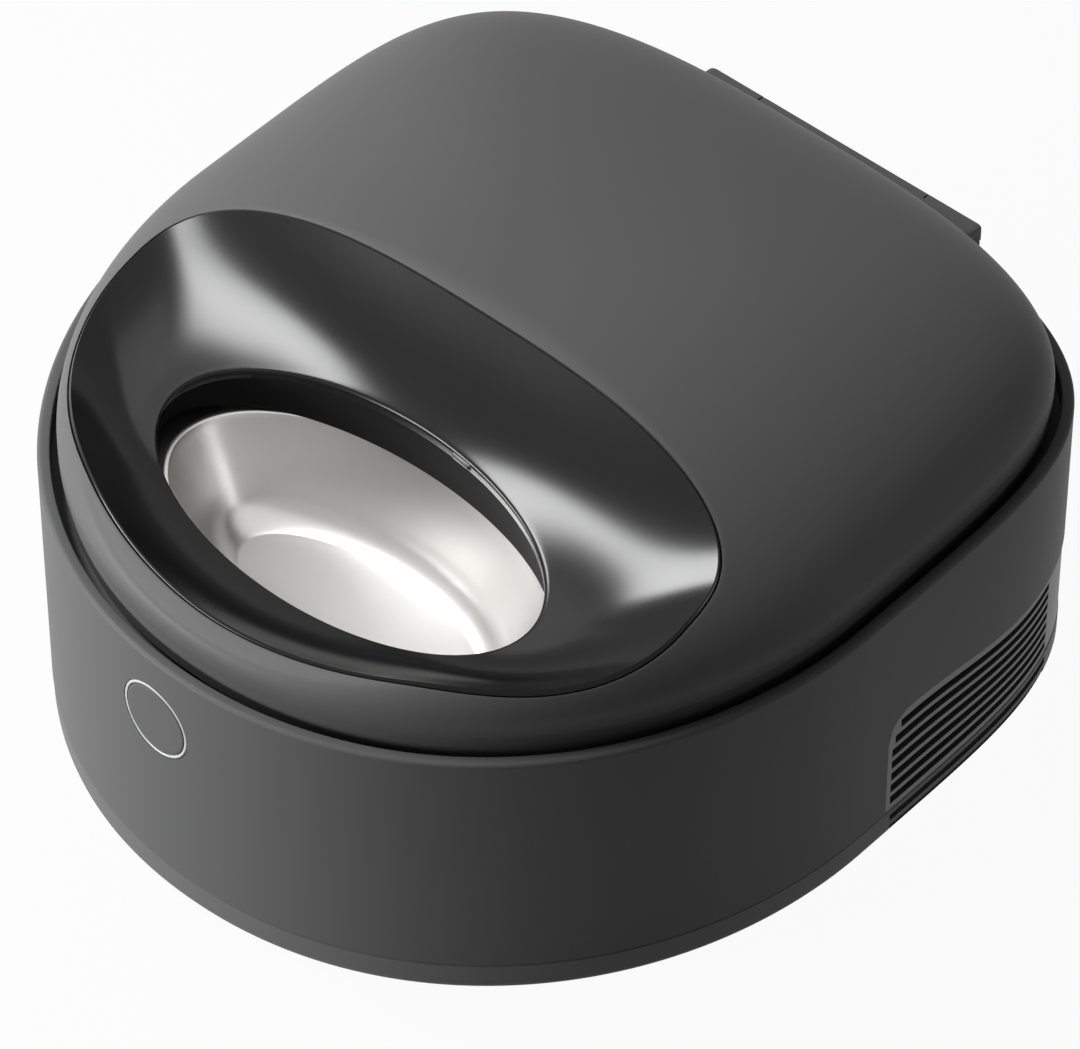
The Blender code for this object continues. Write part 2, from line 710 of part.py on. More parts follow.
def make_base_pan():
    """Shallow pan with rounded lower edge, four posts for the chassis and the board's posts."""
    top = SEAM_HEIGHT
    inner = PAN_INSET + PAN_WALL
    loops = [plan_loop(PAN_INSET + PAN_FILLET, PAN_BOTTOM, 0.2),
             plan_loop(PAN_INSET + PAN_FILLET, PAN_BOTTOM),
             plan_loop(PAN_INSET + PAN_FILLET / 4, PAN_BOTTOM + PAN_FILLET / 3),
             plan_loop(PAN_INSET, PAN_BOTTOM + PAN_FILLET), plan_loop(PAN_INSET, top),
             plan_loop(inner, top), plan_loop(inner, PAN_TOP_FACE),
             plan_loop(inner, PAN_TOP_FACE, 0.2)]
    pan = loft("base_pan", loops)
    adds = []
    for x, y in post_places():
        adds.append(rod("post", (x, y, PAN_TOP_FACE - PAN_FLOOR / 2),
                        (x, y, CHASSIS_BOTTOM - CLEAR), POST_RADIUS, 12))
    for x, y in boss_places():
        adds.append(rod("boss", (x, y, PAN_TOP_FACE - PAN_FLOOR / 2), (x, y, top), BOSS_RADIUS, 12))
    for x, y in board_posts():
        adds.append(rod("board_post", (x, y, PAN_TOP_FACE - PAN_FLOOR / 2),
                        (x, y, PAN_TOP_FACE + BOARD_POST_HEIGHT), BOARD_POST_RADIUS, 12))
    seat = FAN_CENTRE_HEIGHT - FAN_WIDTH / 2 - CLEAR
    fan_x = fan_left()
    adds.append(box("fan_seat", (fan_x, FAN_BACK - FAN_WIDTH / 4, PAN_TOP_FACE - PAN_FLOOR / 2),
                    (fan_x + FAN_THICKNESS, FAN_BACK + FAN_WIDTH / 4, seat)))
    pan = join(pan, adds)
    cuts = []
    for x, y in post_places():
        cuts.append(rod("bore", (x, y, CHASSIS_BOTTOM - 16 * SCREW_RADIUS),
                        (x, y, CHASSIS_BOTTOM + OVERRUN), SCREW_RADIUS + CLEAR, 10))
    for x, y in boss_places():
        cuts.append(rod("bore", (x, y, 0), (x, y, top + OVERRUN), SCREW_RADIUS + CLEAR, 10))
        cuts.append(rod("recess", (x, y, 0), (x, y, PAN_BOTTOM + 1.5 * SCREW_HEAD_HEIGHT),
                        SCREW_HEAD_RADIUS + CLEAR, 12))
    for x, y in foot_places():
        cuts.append(rod("foot_recess", (x, y, 0), (x, y, PAN_BOTTOM + FOOT_SINK), FOOT_RADIUS + CLEAR, 20))
    for low in PAN_SLOT_LOWS:
        cuts.append(band("pan_slot", GRILLE_START + GRILLE_MARGIN,
                         GRILLE_LENGTH - GRILLE_MARGIN - GRILLE_END_MARGIN,
                         PAN_INSET + PAN_SLOT_DEPTH, -OVERRUN, low, low + PAN_SLOT_HEIGHT))
    return place(cut(pan, cuts), "dark_pan")


def make_feet():
    """Four rubber feet, each pressed into its recess."""
    height = FOOT_PROUD + FOOT_SINK - CLEAR
    for corner, (x, y) in zip(CORNERS, foot_places()):
        foot = rod(f"foot_{corner}", (0, 0, 0), (0, 0, height), FOOT_RADIUS - CLEAR, 20, FOOT_RADIUS)
        place(foot, "rubber", (x, y, 0))


def make_screws(name, places, seat, length, up=True, head=SCREW_HEAD_HEIGHT):
    """Pan-head screws: each head starts at the seat and the shank points up or down from it."""
    sign = 1 if up else -1
    profile = [(0, 0), (SCREW_HEAD_RADIUS, 0), (SCREW_HEAD_RADIUS, sign * head),
               (SCREW_RADIUS, sign * head), (SCREW_RADIUS, sign * length), (0, sign * length)]
    for corner, (x, y) in zip(CORNERS, places):
        place(turned(f"{name}_{corner}", profile, 10), "steel", (x, y, seat))


def make_grille():
    """Slatted insert that follows the wall round the rear corner."""
    outer, inner = GRILLE_SET_BACK, GRILLE_SET_BACK + GRILLE_DEPTH
    bottom = SEAM_HEIGHT + CLEAR
    grille = band("grille_insert", GRILLE_START, GRILLE_LENGTH, inner, outer, bottom, grille_top)
    slots = []
    for k in range(SLOT_COUNT):
        low = bottom + GRILLE_MARGIN + k * SLOT_PITCH
        inset = GRILLE_MARGIN + GRILLE_LENGTH * SLOT_START_SHARES[k]
        slots.append(band("slot", GRILLE_START + inset,
                          GRILLE_LENGTH - inset - GRILLE_END_MARGIN, inner + OVERRUN,
                          outer - OVERRUN, lambda along: fallen(low, along + inset),
                          lambda along: fallen(low + SLOT_HEIGHT, along + inset)))
    return place(cut(grille, slots), "black_plastic")


def fan_left():
    """The x of the fan frame's inner face: the frame stands just inside the right wall."""
    widest = next(row[0] for row in FINE if row[1].y >= 0)
    reach = outline_at(widest + FAN_BACK + FAN_WIDTH / 2, SHELL_WALL + GRILLE_DEPTH).x
    return reach - FAN_WALL_GAP - FAN_THICKNESS


def make_fan():
    """Square fan frame with struts, and its bladed rotor on the same axis."""
    left = fan_left()
    y, z = FAN_BACK, FAN_CENTRE_HEIGHT
    half = FAN_WIDTH / 2
    frame = box("fan_frame", (left, y - half, z - half), (left + FAN_THICKNESS, y + half, z + half))
    frame = cut(frame, [rod("bore", (left - OVERRUN, y, z), (left + FAN_THICKNESS + OVERRUN, y, z),
                            FAN_BORE, 32)])
    strut = FAN_STRUT
    reach = (FAN_BORE + half) / 2
    adds = [rod("hub_disc", (left, y, z), (left + strut, y, z), FAN_HUB, 20),
            box("strut", (left, y - reach, z - strut / 2),
                (left + strut, y + reach, z + strut / 2)),
            box("strut", (left, y - strut / 2, z - reach),
                (left + strut, y + strut / 2, z + reach))]
    place(join(frame, adds), "black_plastic")
    start, end = left + strut + CLEAR, left + FAN_THICKNESS - CLEAR
    rotor = rod("fan_rotor", (start - left, 0, 0), (end - left, 0, 0), FAN_HUB, 20)
    blades = []
    tip = FAN_BORE - FAN_BLADE_TIP_GAP
    for k in range(FAN_BLADES):
        blade = box("blade", (-strut / 4, 0, -strut), (strut / 4, tip, strut))
        lean = Matrix.Rotation(math.radians(38), 4, "Y")
        spin = Matrix.Rotation(2 * math.pi * k / FAN_BLADES, 4, "X")
        blade.data.transform(spin @ Matrix.Translation(((start + end) / 2 - left, 0, 0)) @ lean)
        blades.append(blade)
    rotor = join(rotor, blades)
    return place(rotor, "black_plastic", (left, y, z))


def make_cooling():
    """Heat sink, cooling tile and cold plate, stacked under the tub."""
    x, y = SINK_RIGHT, SINK_BACK
    plate_top = TUB_FLOOR_HEIGHT - CLEAR
    half = PLATE_WIDTH / 2
    plate = box("cold_plate", (x - half, y - half, plate_top - PLATE_THICKNESS),
                (x + half, y + half, plate_top))
    place(plate, "aluminium")
    tile_top = plate_top - PLATE_THICKNESS - CLEAR
    half = TILE_WIDTH / 2
    tile = box("cooling_tile", (x - half, y - half, tile_top - TILE_THICKNESS),
               (x + half, y + half, tile_top))
    place(tile, "ceramic")
    base_top = tile_top - TILE_THICKNESS - CLEAR
    half = SINK_WIDTH / 2
    base_bottom = base_top - SINK_BASE
    comb = [(-half, base_top), (half, base_top)]
    pitch = (SINK_WIDTH - FIN_THICKNESS) / (FIN_COUNT - 1)
    for k in range(FIN_COUNT):
        right = half - k * pitch
        comb += [(right, base_bottom), (right, base_bottom - FIN_HEIGHT),
                 (right - FIN_THICKNESS, base_bottom - FIN_HEIGHT), (right - FIN_THICKNESS, base_bottom)]
    comb = [comb[0], comb[1]] + comb[3:-1]
    ends = [[(x - half, y + across, z) for across, z in comb],
            [(x + half, y + across, z) for across, z in comb]]
    place(loft("heat_sink", ends), "aluminium")
    return base_top


def make_tub():
    """Cold tub: round inner wall and floor, open at the top, with a hole for the bush."""
    hole = BUSH_OUTER + CLEAR
    floor = TUB_FLOOR_HEIGHT
    round_off = 3 * TUB_WALL
    profile = [(hole, floor + TUB_WALL), (hole, floor), (TUB_OUTER - round_off, floor),
               (TUB_OUTER, floor + round_off), (TUB_OUTER, TUB_RIM), (TUB_RADIUS, TUB_RIM),
               (TUB_RADIUS, floor + round_off), (TUB_RADIUS - round_off + TUB_WALL, floor + TUB_WALL)]
    place(turned("cold_tub", profile, ROUND_STEPS), "inner_plastic", (0, CAROUSEL_BACK, 0))


def make_foam():
    """Foam cup round the tub, with a hole for the bush and one for the cold plate."""
    hole = BUSH_OUTER + CLEAR
    inner = TUB_OUTER + CLEAR
    floor_top = TUB_FLOOR_HEIGHT - CLEAR
    top = DECK_HEIGHT - DECK_THICKNESS - CLEAR
    profile = [(hole, floor_top), (hole, FOAM_BOTTOM), (inner + FOAM_WALL, FOAM_BOTTOM),
               (inner + FOAM_WALL, top), (inner, top), (inner, floor_top)]
    cup = turned("foam_cup", profile, ROUND_STEPS)
    half = PLATE_WIDTH / 2 + CLEAR
    x, y = SINK_RIGHT, SINK_BACK - CAROUSEL_BACK
    hole_box = box("plate_hole", (x - half, y - half, FOAM_BOTTOM - OVERRUN),
                   (x + half, y + half, floor_top + OVERRUN))
    place(cut(cup, [hole_box]), "foam", (0, CAROUSEL_BACK, 0))


def make_chassis():
    """Round plate that carries the tub, the bush and the motor bracket."""
    hole = BUSH_OUTER + CLEAR
    profile = [(hole, CHASSIS_TOP), (hole, CHASSIS_BOTTOM), (CHASSIS_RADIUS, CHASSIS_BOTTOM),
               (CHASSIS_RADIUS, CHASSIS_TOP)]
    plate = turned("chassis_plate", profile, ROUND_STEPS)
    half = SINK_WIDTH / 2 + CLEAR
    x, y = SINK_RIGHT, SINK_BACK - CAROUSEL_BACK
    cuts = [box("sink_hole", (x - half, y - half, CHASSIS_BOTTOM - OVERRUN),
                (x + half, y + half, CHASSIS_TOP + OVERRUN))]
    for px, py in post_places():
        spot_y = py - CAROUSEL_BACK
        cuts.append(rod("screw_hole", (px, spot_y, CHASSIS_BOTTOM - OVERRUN),
                        (px, spot_y, CHASSIS_TOP + OVERRUN), SCREW_RADIUS + CLEAR, 10))
        cuts.append(rod("head_recess", (px, spot_y, CHASSIS_TOP - SCREW_HEAD_HEIGHT - CLEAR),
                        (px, spot_y, CHASSIS_TOP + OVERRUN), SCREW_HEAD_RADIUS + CLEAR, 16))
    return place(cut(plate, cuts), "inner_plastic", (0, CAROUSEL_BACK, 0))


def gear_loop(teeth, height, turn):
    """One gear outline: each tooth has a root, two flanks and a tip."""
    pitch_radius = GEAR_MODULE * teeth / 2
    root = pitch_radius - ROOT_SHARE * GEAR_MODULE
    tip = pitch_radius + TIP_SHARE * GEAR_MODULE
    step = 2 * math.pi / teeth
    loop = []
    for k in range(teeth):
        for offset, radius in ((-0.29, root), (-0.11, tip), (0.11, tip), (0.29, root)):
            angle = turn + (k + offset) * step
            loop.append((radius * math.cos(angle), radius * math.sin(angle), height))
    return loop


def make_drive():
    """Spindle and its gear, the bush, the motor with bracket, shaft and pinion."""
    bore = SPINDLE_RADIUS + RUNNING_GAP
    rim = BUSH_OUTER + BUSH_FLANGE
    seat = TUB_FLOOR_HEIGHT + TUB_WALL + CLEAR
    profile = [(bore, BUSH_TOP), (bore, CHASSIS_BOTTOM), (BUSH_OUTER, CHASSIS_BOTTOM), (BUSH_OUTER, seat),
               (rim, seat), (rim, BUSH_TOP)]
    place(turned("spindle_bush", profile, 24), "bronze", (0, CAROUSEL_BACK, 0))
    top = TRAY_TOP - TRAY_DISH_DEPTH - TRAY_THICKNESS - CLEAR
    place(rod("drive_spindle", (0, 0, GEAR_BOTTOM), (0, 0, top), SPINDLE_RADIUS, 32), "steel",
          (0, CAROUSEL_BACK, 0))
    gear = loft("spindle_gear", [gear_loop(GEAR_TEETH, GEAR_BOTTOM, 0), gear_loop(GEAR_TEETH, GEAR_TOP, 0)])
    gear = cut(gear, [rod("bore", (0, 0, GEAR_BOTTOM - OVERRUN), (0, 0, GEAR_TOP + OVERRUN),
                          SPINDLE_RADIUS + CLEAR, 32)])
    place(gear, "acetal", (0, CAROUSEL_BACK, 0))
    spot = (-PINION_REACH, CAROUSEL_BACK, 0)
    half_tooth = math.pi / PINION_TEETH
    pinion = loft("motor_pinion", [gear_loop(PINION_TEETH, GEAR_BOTTOM, half_tooth),
                                   gear_loop(PINION_TEETH, GEAR_TOP, half_tooth)])
    pinion = cut(pinion, [rod("bore", (0, 0, GEAR_BOTTOM - OVERRUN), (0, 0, GEAR_TOP + OVERRUN),
                              MOTOR_SHAFT_RADIUS + CLEAR, 16)])
    place(pinion, "acetal", spot)
    nose = BRACKET_BOTTOM - CLEAR
    shaft_bottom = nose - GEARBOX_HEIGHT / 2
    place(rod("motor_shaft", (0, 0, shaft_bottom), (0, 0, GEAR_TOP), MOTOR_SHAFT_RADIUS, 16), "steel", spot)
    hole = MOTOR_SHAFT_RADIUS + RUNNING_GAP
    gearbox_bottom = nose - GEARBOX_HEIGHT
    motor_bottom = gearbox_bottom - MOTOR_HEIGHT
    profile = [(0, shaft_bottom - CLEAR), (0, motor_bottom), (MOTOR_RADIUS, motor_bottom),
               (MOTOR_RADIUS, gearbox_bottom), (GEARBOX_RADIUS, gearbox_bottom),
               (GEARBOX_RADIUS, nose), (hole, nose), (hole, shaft_bottom - CLEAR)]
    place(turned("gear_motor", profile, 24), "steel", spot)
    half_w, half_d = BRACKET_WIDTH / 2, BRACKET_DEPTH / 2
    centre_x = -PINION_REACH - BRACKET_LEFT
    plate = box("motor_bracket", (centre_x - half_w, -half_d, BRACKET_BOTTOM),
                (centre_x + half_w, half_d, BRACKET_TOP))
    posts = []
    for sx in (-1, 1):
        for sy in (-1, 1):
            inset = STANDOFF_RADIUS + STANDOFF_INSET
            x, y = centre_x + sx * (half_w - inset), sy * (half_d - inset)
            posts.append(rod("standoff", (x, y, BRACKET_TOP - BRACKET_THICKNESS / 2),
                             (x, y, CHASSIS_BOTTOM - CLEAR), STANDOFF_RADIUS, 12))
    plate = join(plate, posts)
    plate = cut(plate, [rod("nose_hole", (-PINION_REACH, 0, BRACKET_BOTTOM - OVERRUN),
                            (-PINION_REACH, 0, BRACKET_TOP + OVERRUN), 2 * MOTOR_SHAFT_RADIUS, 20)])
    place(plate, "steel", (0, CAROUSEL_BACK, 0))


def bowl_frame(quarter):
    """Where a bowl sits on the tray: 0 is the front station, then round by quarter turns."""
    return Matrix.Rotation(math.radians(90 * quarter), 4, "Z") @ Matrix.Translation((0, -BOWL_ORBIT, 0))


def make_tray():
    """Turning tray: hub, finger dish, disc with three bowl holes, and a skirt."""
    top, under = TRAY_TOP, TRAY_TOP - TRAY_THICKNESS
    dish = top - TRAY_DISH_DEPTH
    bore = SPINDLE_RADIUS + CLEAR
    foot = BUSH_TOP + CLEAR
    wall = TRAY_THICKNESS
    profile = [(0, dish), (0, dish - wall), (bore, dish - wall), (bore, foot), (HUB_RADIUS, foot),
               (HUB_RADIUS, dish - wall),
               (TRAY_DISH_RADIUS, dish - wall), (TRAY_DISH_RADIUS + wall,
                                                 dish), (TRAY_DISH_RADIUS + wall, under),
               (TRAY_RADIUS - wall, under), (TRAY_RADIUS - wall,
                                             top - TRAY_SKIRT), (TRAY_RADIUS, top - TRAY_SKIRT),
               (TRAY_RADIUS, top), (TRAY_DISH_RADIUS, top), (TRAY_DISH_RADIUS, dish)]
    tray = turned("carousel_tray", profile, ROUND_STEPS)
    holes = []
    for quarter in (-1, 0, 1):
        loops = [oval_loop(BOWL_HALF_LENGTH + 2 * CLEAR, BOWL_HALF_BREADTH + 2 * CLEAR,
                           z) for z in (under - OVERRUN, top + OVERRUN)]
        hole = loft("bowl_hole", loops)
        hole.data.transform(bowl_frame(quarter))
        holes.append(hole)
    return place(cut(tray, holes), "inner_plastic", (0, CAROUSEL_BACK, 0))


def make_bowl(name, quarter):
    """A pressed oval bowl whose rim rests on the tray."""
    rim = TRAY_TOP + CLEAR
    floor = rim - BOWL_DEPTH
    length, breadth, wall = BOWL_HALF_LENGTH, BOWL_HALF_BREADTH, BOWL_WALL
    floor_length, floor_breadth = (size * share for size, share in zip((length, breadth), BOWL_FLOOR_SHARES))

    def wall_loop(share, height, grow):
        return oval_loop(floor_length + (length - floor_length) * share + grow,
                         floor_breadth + (breadth - floor_breadth) * share + grow, height)

    outer = [wall_loop(-0.12, floor - wall, 0), wall_loop(0.12, floor + BOWL_ROUND / 6, 0),
             wall_loop(0.35, floor + BOWL_ROUND, 0), wall_loop(1.0, rim, 0)]
    edge = [oval_loop(length + BOWL_FLANGE, breadth + BOWL_FLANGE, rim),
            oval_loop(length + BOWL_FLANGE, breadth + BOWL_FLANGE, rim + wall)]
    inner = [wall_loop(1.0, rim + wall, -wall), wall_loop(0.35, floor + BOWL_ROUND, -wall),
             wall_loop(0.12, floor + BOWL_ROUND / 6, -wall), wall_loop(-0.12, floor, -wall)]
    bowl = loft(name, outer + edge + inner)
    bowl.data.transform(bowl_frame(quarter))
    return place(bowl, "stainless", (0, CAROUSEL_BACK, 0))


def make_grip():
    """Bar across the finger dish, for lifting the tray out."""
    half = GRIP_LENGTH / 2
    top = TRAY_TOP - CLEAR
    grip = box("tray_grip", (-half, -GRIP_WIDTH / 2, top - GRIP_DEPTH), (half, GRIP_WIDTH / 2, top))
    foot = TRAY_TOP - TRAY_DISH_DEPTH + CLEAR
    legs = [box("leg", (side * half - GRIP_DEPTH / 2, -GRIP_WIDTH / 2, foot),
                (side * half + GRIP_DEPTH / 2, GRIP_WIDTH / 2, top - GRIP_DEPTH / 2)) for side in (-1, 1)]
    for leg, side in zip(legs, (-1, 1)):
        leg.data.transform(Matrix.Translation((-side * GRIP_DEPTH / 2, 0, 0)))
    return place(join(grip, legs), "black_plastic", (0, CAROUSEL_BACK, 0))


def make_gasket():
    """Soft ring on the tub's rim, under the liner."""
    base = GASKET_BASE
    top = base + GASKET_HEIGHT
    profile = [(TUB_RADIUS, base), (TUB_OUTER, base), (TUB_OUTER - TUB_WALL / 4, top),
               (TUB_RADIUS + TUB_WALL / 4, top)]
    place(turned("lid_gasket", profile, ROUND_STEPS), "rubber", (0, CAROUSEL_BACK, 0))


def opening_height(x, y):
    """Height of the feeding opening's edge, which rises towards the rear."""
    return OPENING_HEIGHT + OPENING_SLOPE * (y + OPENING_FORWARD)


def funnel_edge(turn, grow=0):
    """A point of the funnel's outer edge, which is deeper in front of its widest line."""
    rear = math.sin(turn) > 0
    depth = FUNNEL_REAR_DEPTH if rear else FUNNEL_FRONT_DEPTH
    power = FUNNEL_REAR_POWER if rear else FUNNEL_FRONT_POWER
    x, y = oval_point(FUNNEL_HALF_WIDTH + grow, depth + grow, turn, power)
    return x, y - FUNNEL_FORWARD


def funnel_loop(share, lower=0, grow=0, steps=2 * OUTLINE_STEPS):
    """One ring of the funnel, from its outer edge (0) to the feeding opening (1)."""
    loop = []
    for k in range(steps):
        turn = 2 * math.pi * k / steps
        x0, y0 = funnel_edge(turn, grow - CLEAR)
        x1, y1 = oval_point(OPENING_HALF_WIDTH + grow, OPENING_HALF_DEPTH + grow, turn)
        y1 -= OPENING_FORWARD
        z0, z1 = lid_height(x0, y0), opening_height(x1, y1)
        sag = FUNNEL_DISH * math.sin(math.pi * share)
        loop.append((x0 + (x1 - x0) * share, y0 + (y1 - y0) * share, z0 + (z1 - z0) * share - sag - lower))
    return loop


def make_bezel():
    """Dished insert from the lid's surface down to the feeding opening."""
    upper = [funnel_loop(share) for share in FUNNEL_DISH_SHARES]
    lip = [funnel_loop(1.0, OPENING_LIP), funnel_loop(1.0, OPENING_LIP, BEZEL_WALL),
           funnel_loop(1.0, BEZEL_WALL, BEZEL_WALL)]
    under = [funnel_loop(share, BEZEL_WALL) for share in FUNNEL_DISH_SHARES[-2:0:-1]]
    edge = [funnel_loop(0.0, BEZEL_WALL, -BEZEL_WALL), funnel_loop(0.0, BEZEL_EDGE, -BEZEL_WALL),
            funnel_loop(0.0, BEZEL_EDGE)]
    bezel = loft("funnel_bezel", upper + lip + under + edge, closed=True)
    return place(cut(bezel, [sensor_box("sensor_seat", CLEAR)]), "satin_black")


def sensor_frame():
    """The sensor window's place on the lip, facing the middle of the opening."""
    x, y = oval_point(OPENING_HALF_WIDTH, OPENING_HALF_DEPTH, SENSOR_ANGLE)
    normal = Vector((x / OPENING_HALF_WIDTH ** 2, y / OPENING_HALF_DEPTH ** 2, 0)).normalized()
    y -= OPENING_FORWARD
    spot = Vector((x, y, opening_height(x, y) - OPENING_LIP / 2))
    side = normal.cross(Vector((0, 0, 1))).normalized()
    turn = Matrix((side, normal, Vector((0, 0, 1)))).transposed().to_4x4()
    return Matrix.Translation(spot) @ turn


def sensor_box(name, grow=0):
    """The window's solid, or with a clearance the seat cut for it."""
    half_w, half_h = SENSOR_WIDTH / 2 + grow, SENSOR_HEIGHT / 2 + grow
    front = -OVERRUN if grow else SENSOR_SET_BACK
    thing = box(name, (-half_w, front, -half_h), (half_w, SENSOR_DEPTH + grow, half_h))
    thing.data.transform(sensor_frame())
    return thing


def make_sensor():
    """Window in the lip and the small board behind it, on the liner."""
    place(sensor_box("sensor_window"), "satin_black")
    frame = sensor_frame()
    middle = frame @ Vector((0, BEZEL_WALL + SENSOR_BOARD_BACK + SENSOR_BOARD_DEPTH / 2, 0))
    low = LINER_HEIGHT + LINER_WALL + CLEAR
    half_w, half_d = SENSOR_BOARD_WIDTH / 2, SENSOR_BOARD_DEPTH / 2
    board = box("sensor_board", (middle.x - half_w, middle.y - half_d, low),
                (middle.x + half_w, middle.y + half_d, low + BOARD_THICKNESS))
    chip = box("chip", (middle.x - half_w / 3, middle.y - half_d / 2, low + BOARD_THICKNESS / 2),
               (middle.x + half_w / 3, middle.y + half_d / 2, low + BOARD_THICKNESS + CHIP_HEIGHT))
    return place(join(board, [chip]), "board_green")


def make_liner():
    """Flat inner cover of the lid with a collar up to the feeding opening."""
    low, high = LINER_HEIGHT, LINER_HEIGHT + LINER_WALL
    gap = BEZEL_WALL + 2 * CLEAR
    centre = (0, -OPENING_FORWARD)
    steps = 2 * OUTLINE_STEPS

    def collar(grow, height):
        return oval_loop(OPENING_HALF_WIDTH + grow, OPENING_HALF_DEPTH + grow, height, centre, steps)

    def top(x, y):
        return max(opening_height(x, y) - OPENING_LIP - CLEAR, high + COLLAR_RISE)

    def rim(radius, height):
        loop = []
        for k in range(steps):
            turn = 2 * math.pi * k / steps
            loop.append((radius * math.cos(turn), CAROUSEL_BACK + radius * math.sin(turn), height))
        return loop

    loops = [rim(LINER_RADIUS, low), collar(gap, low), collar(gap, top), collar(gap + LINER_WALL, top),
             collar(gap + LINER_WALL, high), rim(LINER_RADIUS, high)]
    liner = loft("lid_liner", loops, closed=True)
    holes = [rod("screw_hole", (x, y, low - OVERRUN), (x, y, high + OVERRUN), SCREW_RADIUS + CLEAR,
                 10) for x, y in lid_boss_places()]
    return place(cut(liner, holes), "inner_plastic")


def lid_boss_places():
    return [(x * HALF_WIDTH, y * REAR_DEPTH) for x, y in LID_BOSS_SHARES]


def arc(radius, start, end, steps):
    """Points of an arc in the hinge's side view, in degrees from the rear."""
    points = []
    for k in range(steps + 1):
        turn = math.radians(start + (end - start) * k / steps)
        points.append((radius * math.cos(turn), radius * math.sin(turn)))
    return points


def hinge_prism(name, section, half_from, half_to):
    """A side-view section about the hinge axis, drawn out along X."""
    loops = [[(x, HINGE_Y + y, HINGE_Z + z) for y, z in section] for x in (half_from, half_to)]
    return loft(name, loops)


def tail_section():
    """Side view of the tail about the hinge axis: from inside the lid's wall, over the knuckle."""
    edge = REAR_DEPTH - LID_INSET - HINGE_Y
    shoulder = LID_SHOULDER - HINGE_Z
    low = LID_BOTTOM - HINGE_Z + CLEAR
    root = edge - LID_WALL / 2
    crown = (edge, shoulder + TAIL_RISE)
    waist = (edge / 2, TAIL_RADIUS + (shoulder + TAIL_RISE - TAIL_RADIUS) * TAIL_WAIST_SHARE)
    section = [(root, low), (root, shoulder), crown, waist]
    reach = HINGE_REACH - HINGE_Y
    lip = arc(KNUCKLE_RADIUS + CLEAR, TAIL_LIP_ANGLE, 90, 4)
    section += [(0, TAIL_TOP + TAIL_CORNER / 3), (reach - TAIL_CORNER, TAIL_TOP),
                (reach, TAIL_TOP - TAIL_CORNER), (reach, lip[0][1])] + lip
    return section + [(edge / 2, low)]


def make_lid():
    """Domed lid with its skirt, the funnel's hole, the tail over the hinge and two barrels."""
    outer = [plan_loop(LID_INSET, LID_BOTTOM), plan_loop(LID_INSET, LID_SHOULDER)]
    for share in LID_RING_SHARES:
        outer.append([(p.x * share, p.y * share,
                       lid_height(p.x * share, p.y * share, 1 - share)) for p in LID_OUTLINE])
    skirt = LID_INSET + SKIRT_INSET
    inner = [plan_loop(skirt, LID_BOTTOM), plan_loop(skirt, LID_BOTTOM - SKIRT_DROP),
             plan_loop(skirt + SKIRT_WALL,
                       LID_BOTTOM - SKIRT_DROP), plan_loop(skirt + SKIRT_WALL, LID_BOTTOM)]
    inner_outline = plan_points(skirt + SKIRT_WALL)
    for share in LID_INNER_SHARES:
        spots = [(p.x * share, p.y * share) for p in inner_outline]
        inner.append([(x, y, max(lid_height(x, y) - LID_WALL, LID_BOTTOM + CLEAR)) for x, y in spots])
    lid = loft("lid_shell", outer[::-1] + inner)
    adds = [hinge_prism("tail", tail_section(), -HINGE_HALF_WIDTH, HINGE_HALF_WIDTH)]
    for side in (-1, 1):
        ends = sorted((side * (KNUCKLE_HALF_WIDTH + CLEAR), side * HINGE_HALF_WIDTH))
        adds.append(rod("barrel", (ends[0], HINGE_Y, HINGE_Z), (ends[1], HINGE_Y, HINGE_Z), BARREL_RADIUS,
                        28))
    for x, y in lid_boss_places():
        adds.append(rod("boss", (x, y, LINER_HEIGHT + LINER_WALL + CLEAR),
                        (x, y, lid_height(x, y) - LID_WALL / 2), LID_BOSS_RADIUS, 12))
    lid = join(lid, adds)
    steps = 2 * OUTLINE_STEPS
    edge = [funnel_edge(2 * math.pi * k / steps) for k in range(steps)]
    hole_ends = (LID_BOTTOM + LID_EDGE / 2, LID_SHOULDER + DOME_RISE + OVERRUN)
    hole_loops = [[(x, y, z) for x, y in edge] for z in hole_ends]
    reach = HINGE_HALF_WIDTH - TAIL_WALL
    cuts = [loft("funnel_hole", hole_loops),
            rod("pin_bore", (-reach, HINGE_Y, HINGE_Z), (reach, HINGE_Y, HINGE_Z), PIN_RADIUS + CLEAR, 16)]
    for x, y in lid_boss_places():
        top = LINER_HEIGHT + LINER_WALL + 6 * SCREW_RADIUS
        cuts.append(rod("boss_bore", (x, y, LINER_HEIGHT), (x, y, top), SCREW_RADIUS + CLEAR, 10))
    return place(cut(lid, cuts), "charcoal_lid", (0, 0, 0))


def make_hinge():
    """Middle knuckle on its foot in the pocket, and the pin through all three knuckles."""
    half = KNUCKLE_HALF_WIDTH
    knuckle = rod("hinge_bracket", (-half, HINGE_Y, HINGE_Z), (half, HINGE_Y, HINGE_Z), KNUCKLE_RADIUS, 28)
    foot = box("foot", (-half, HINGE_Y - KNUCKLE_RADIUS, POCKET_Z + CLEAR),
               (half, HINGE_Y + KNUCKLE_RADIUS / 3, HINGE_Z - PIN_RADIUS * 1.5))
    knuckle = join(knuckle, [foot])
    bore = rod("pin_bore", (-half - OVERRUN, HINGE_Y, HINGE_Z), (half + OVERRUN, HINGE_Y, HINGE_Z),
               PIN_RADIUS + CLEAR, 16)
    place(cut(knuckle, [bore]), "charcoal_shell")
    reach = HINGE_HALF_WIDTH - TAIL_WALL - CLEAR
    place(rod("hinge_pin", (-reach, HINGE_Y, HINGE_Z), (reach, HINGE_Y, HINGE_Z), PIN_RADIUS, 16), "steel")


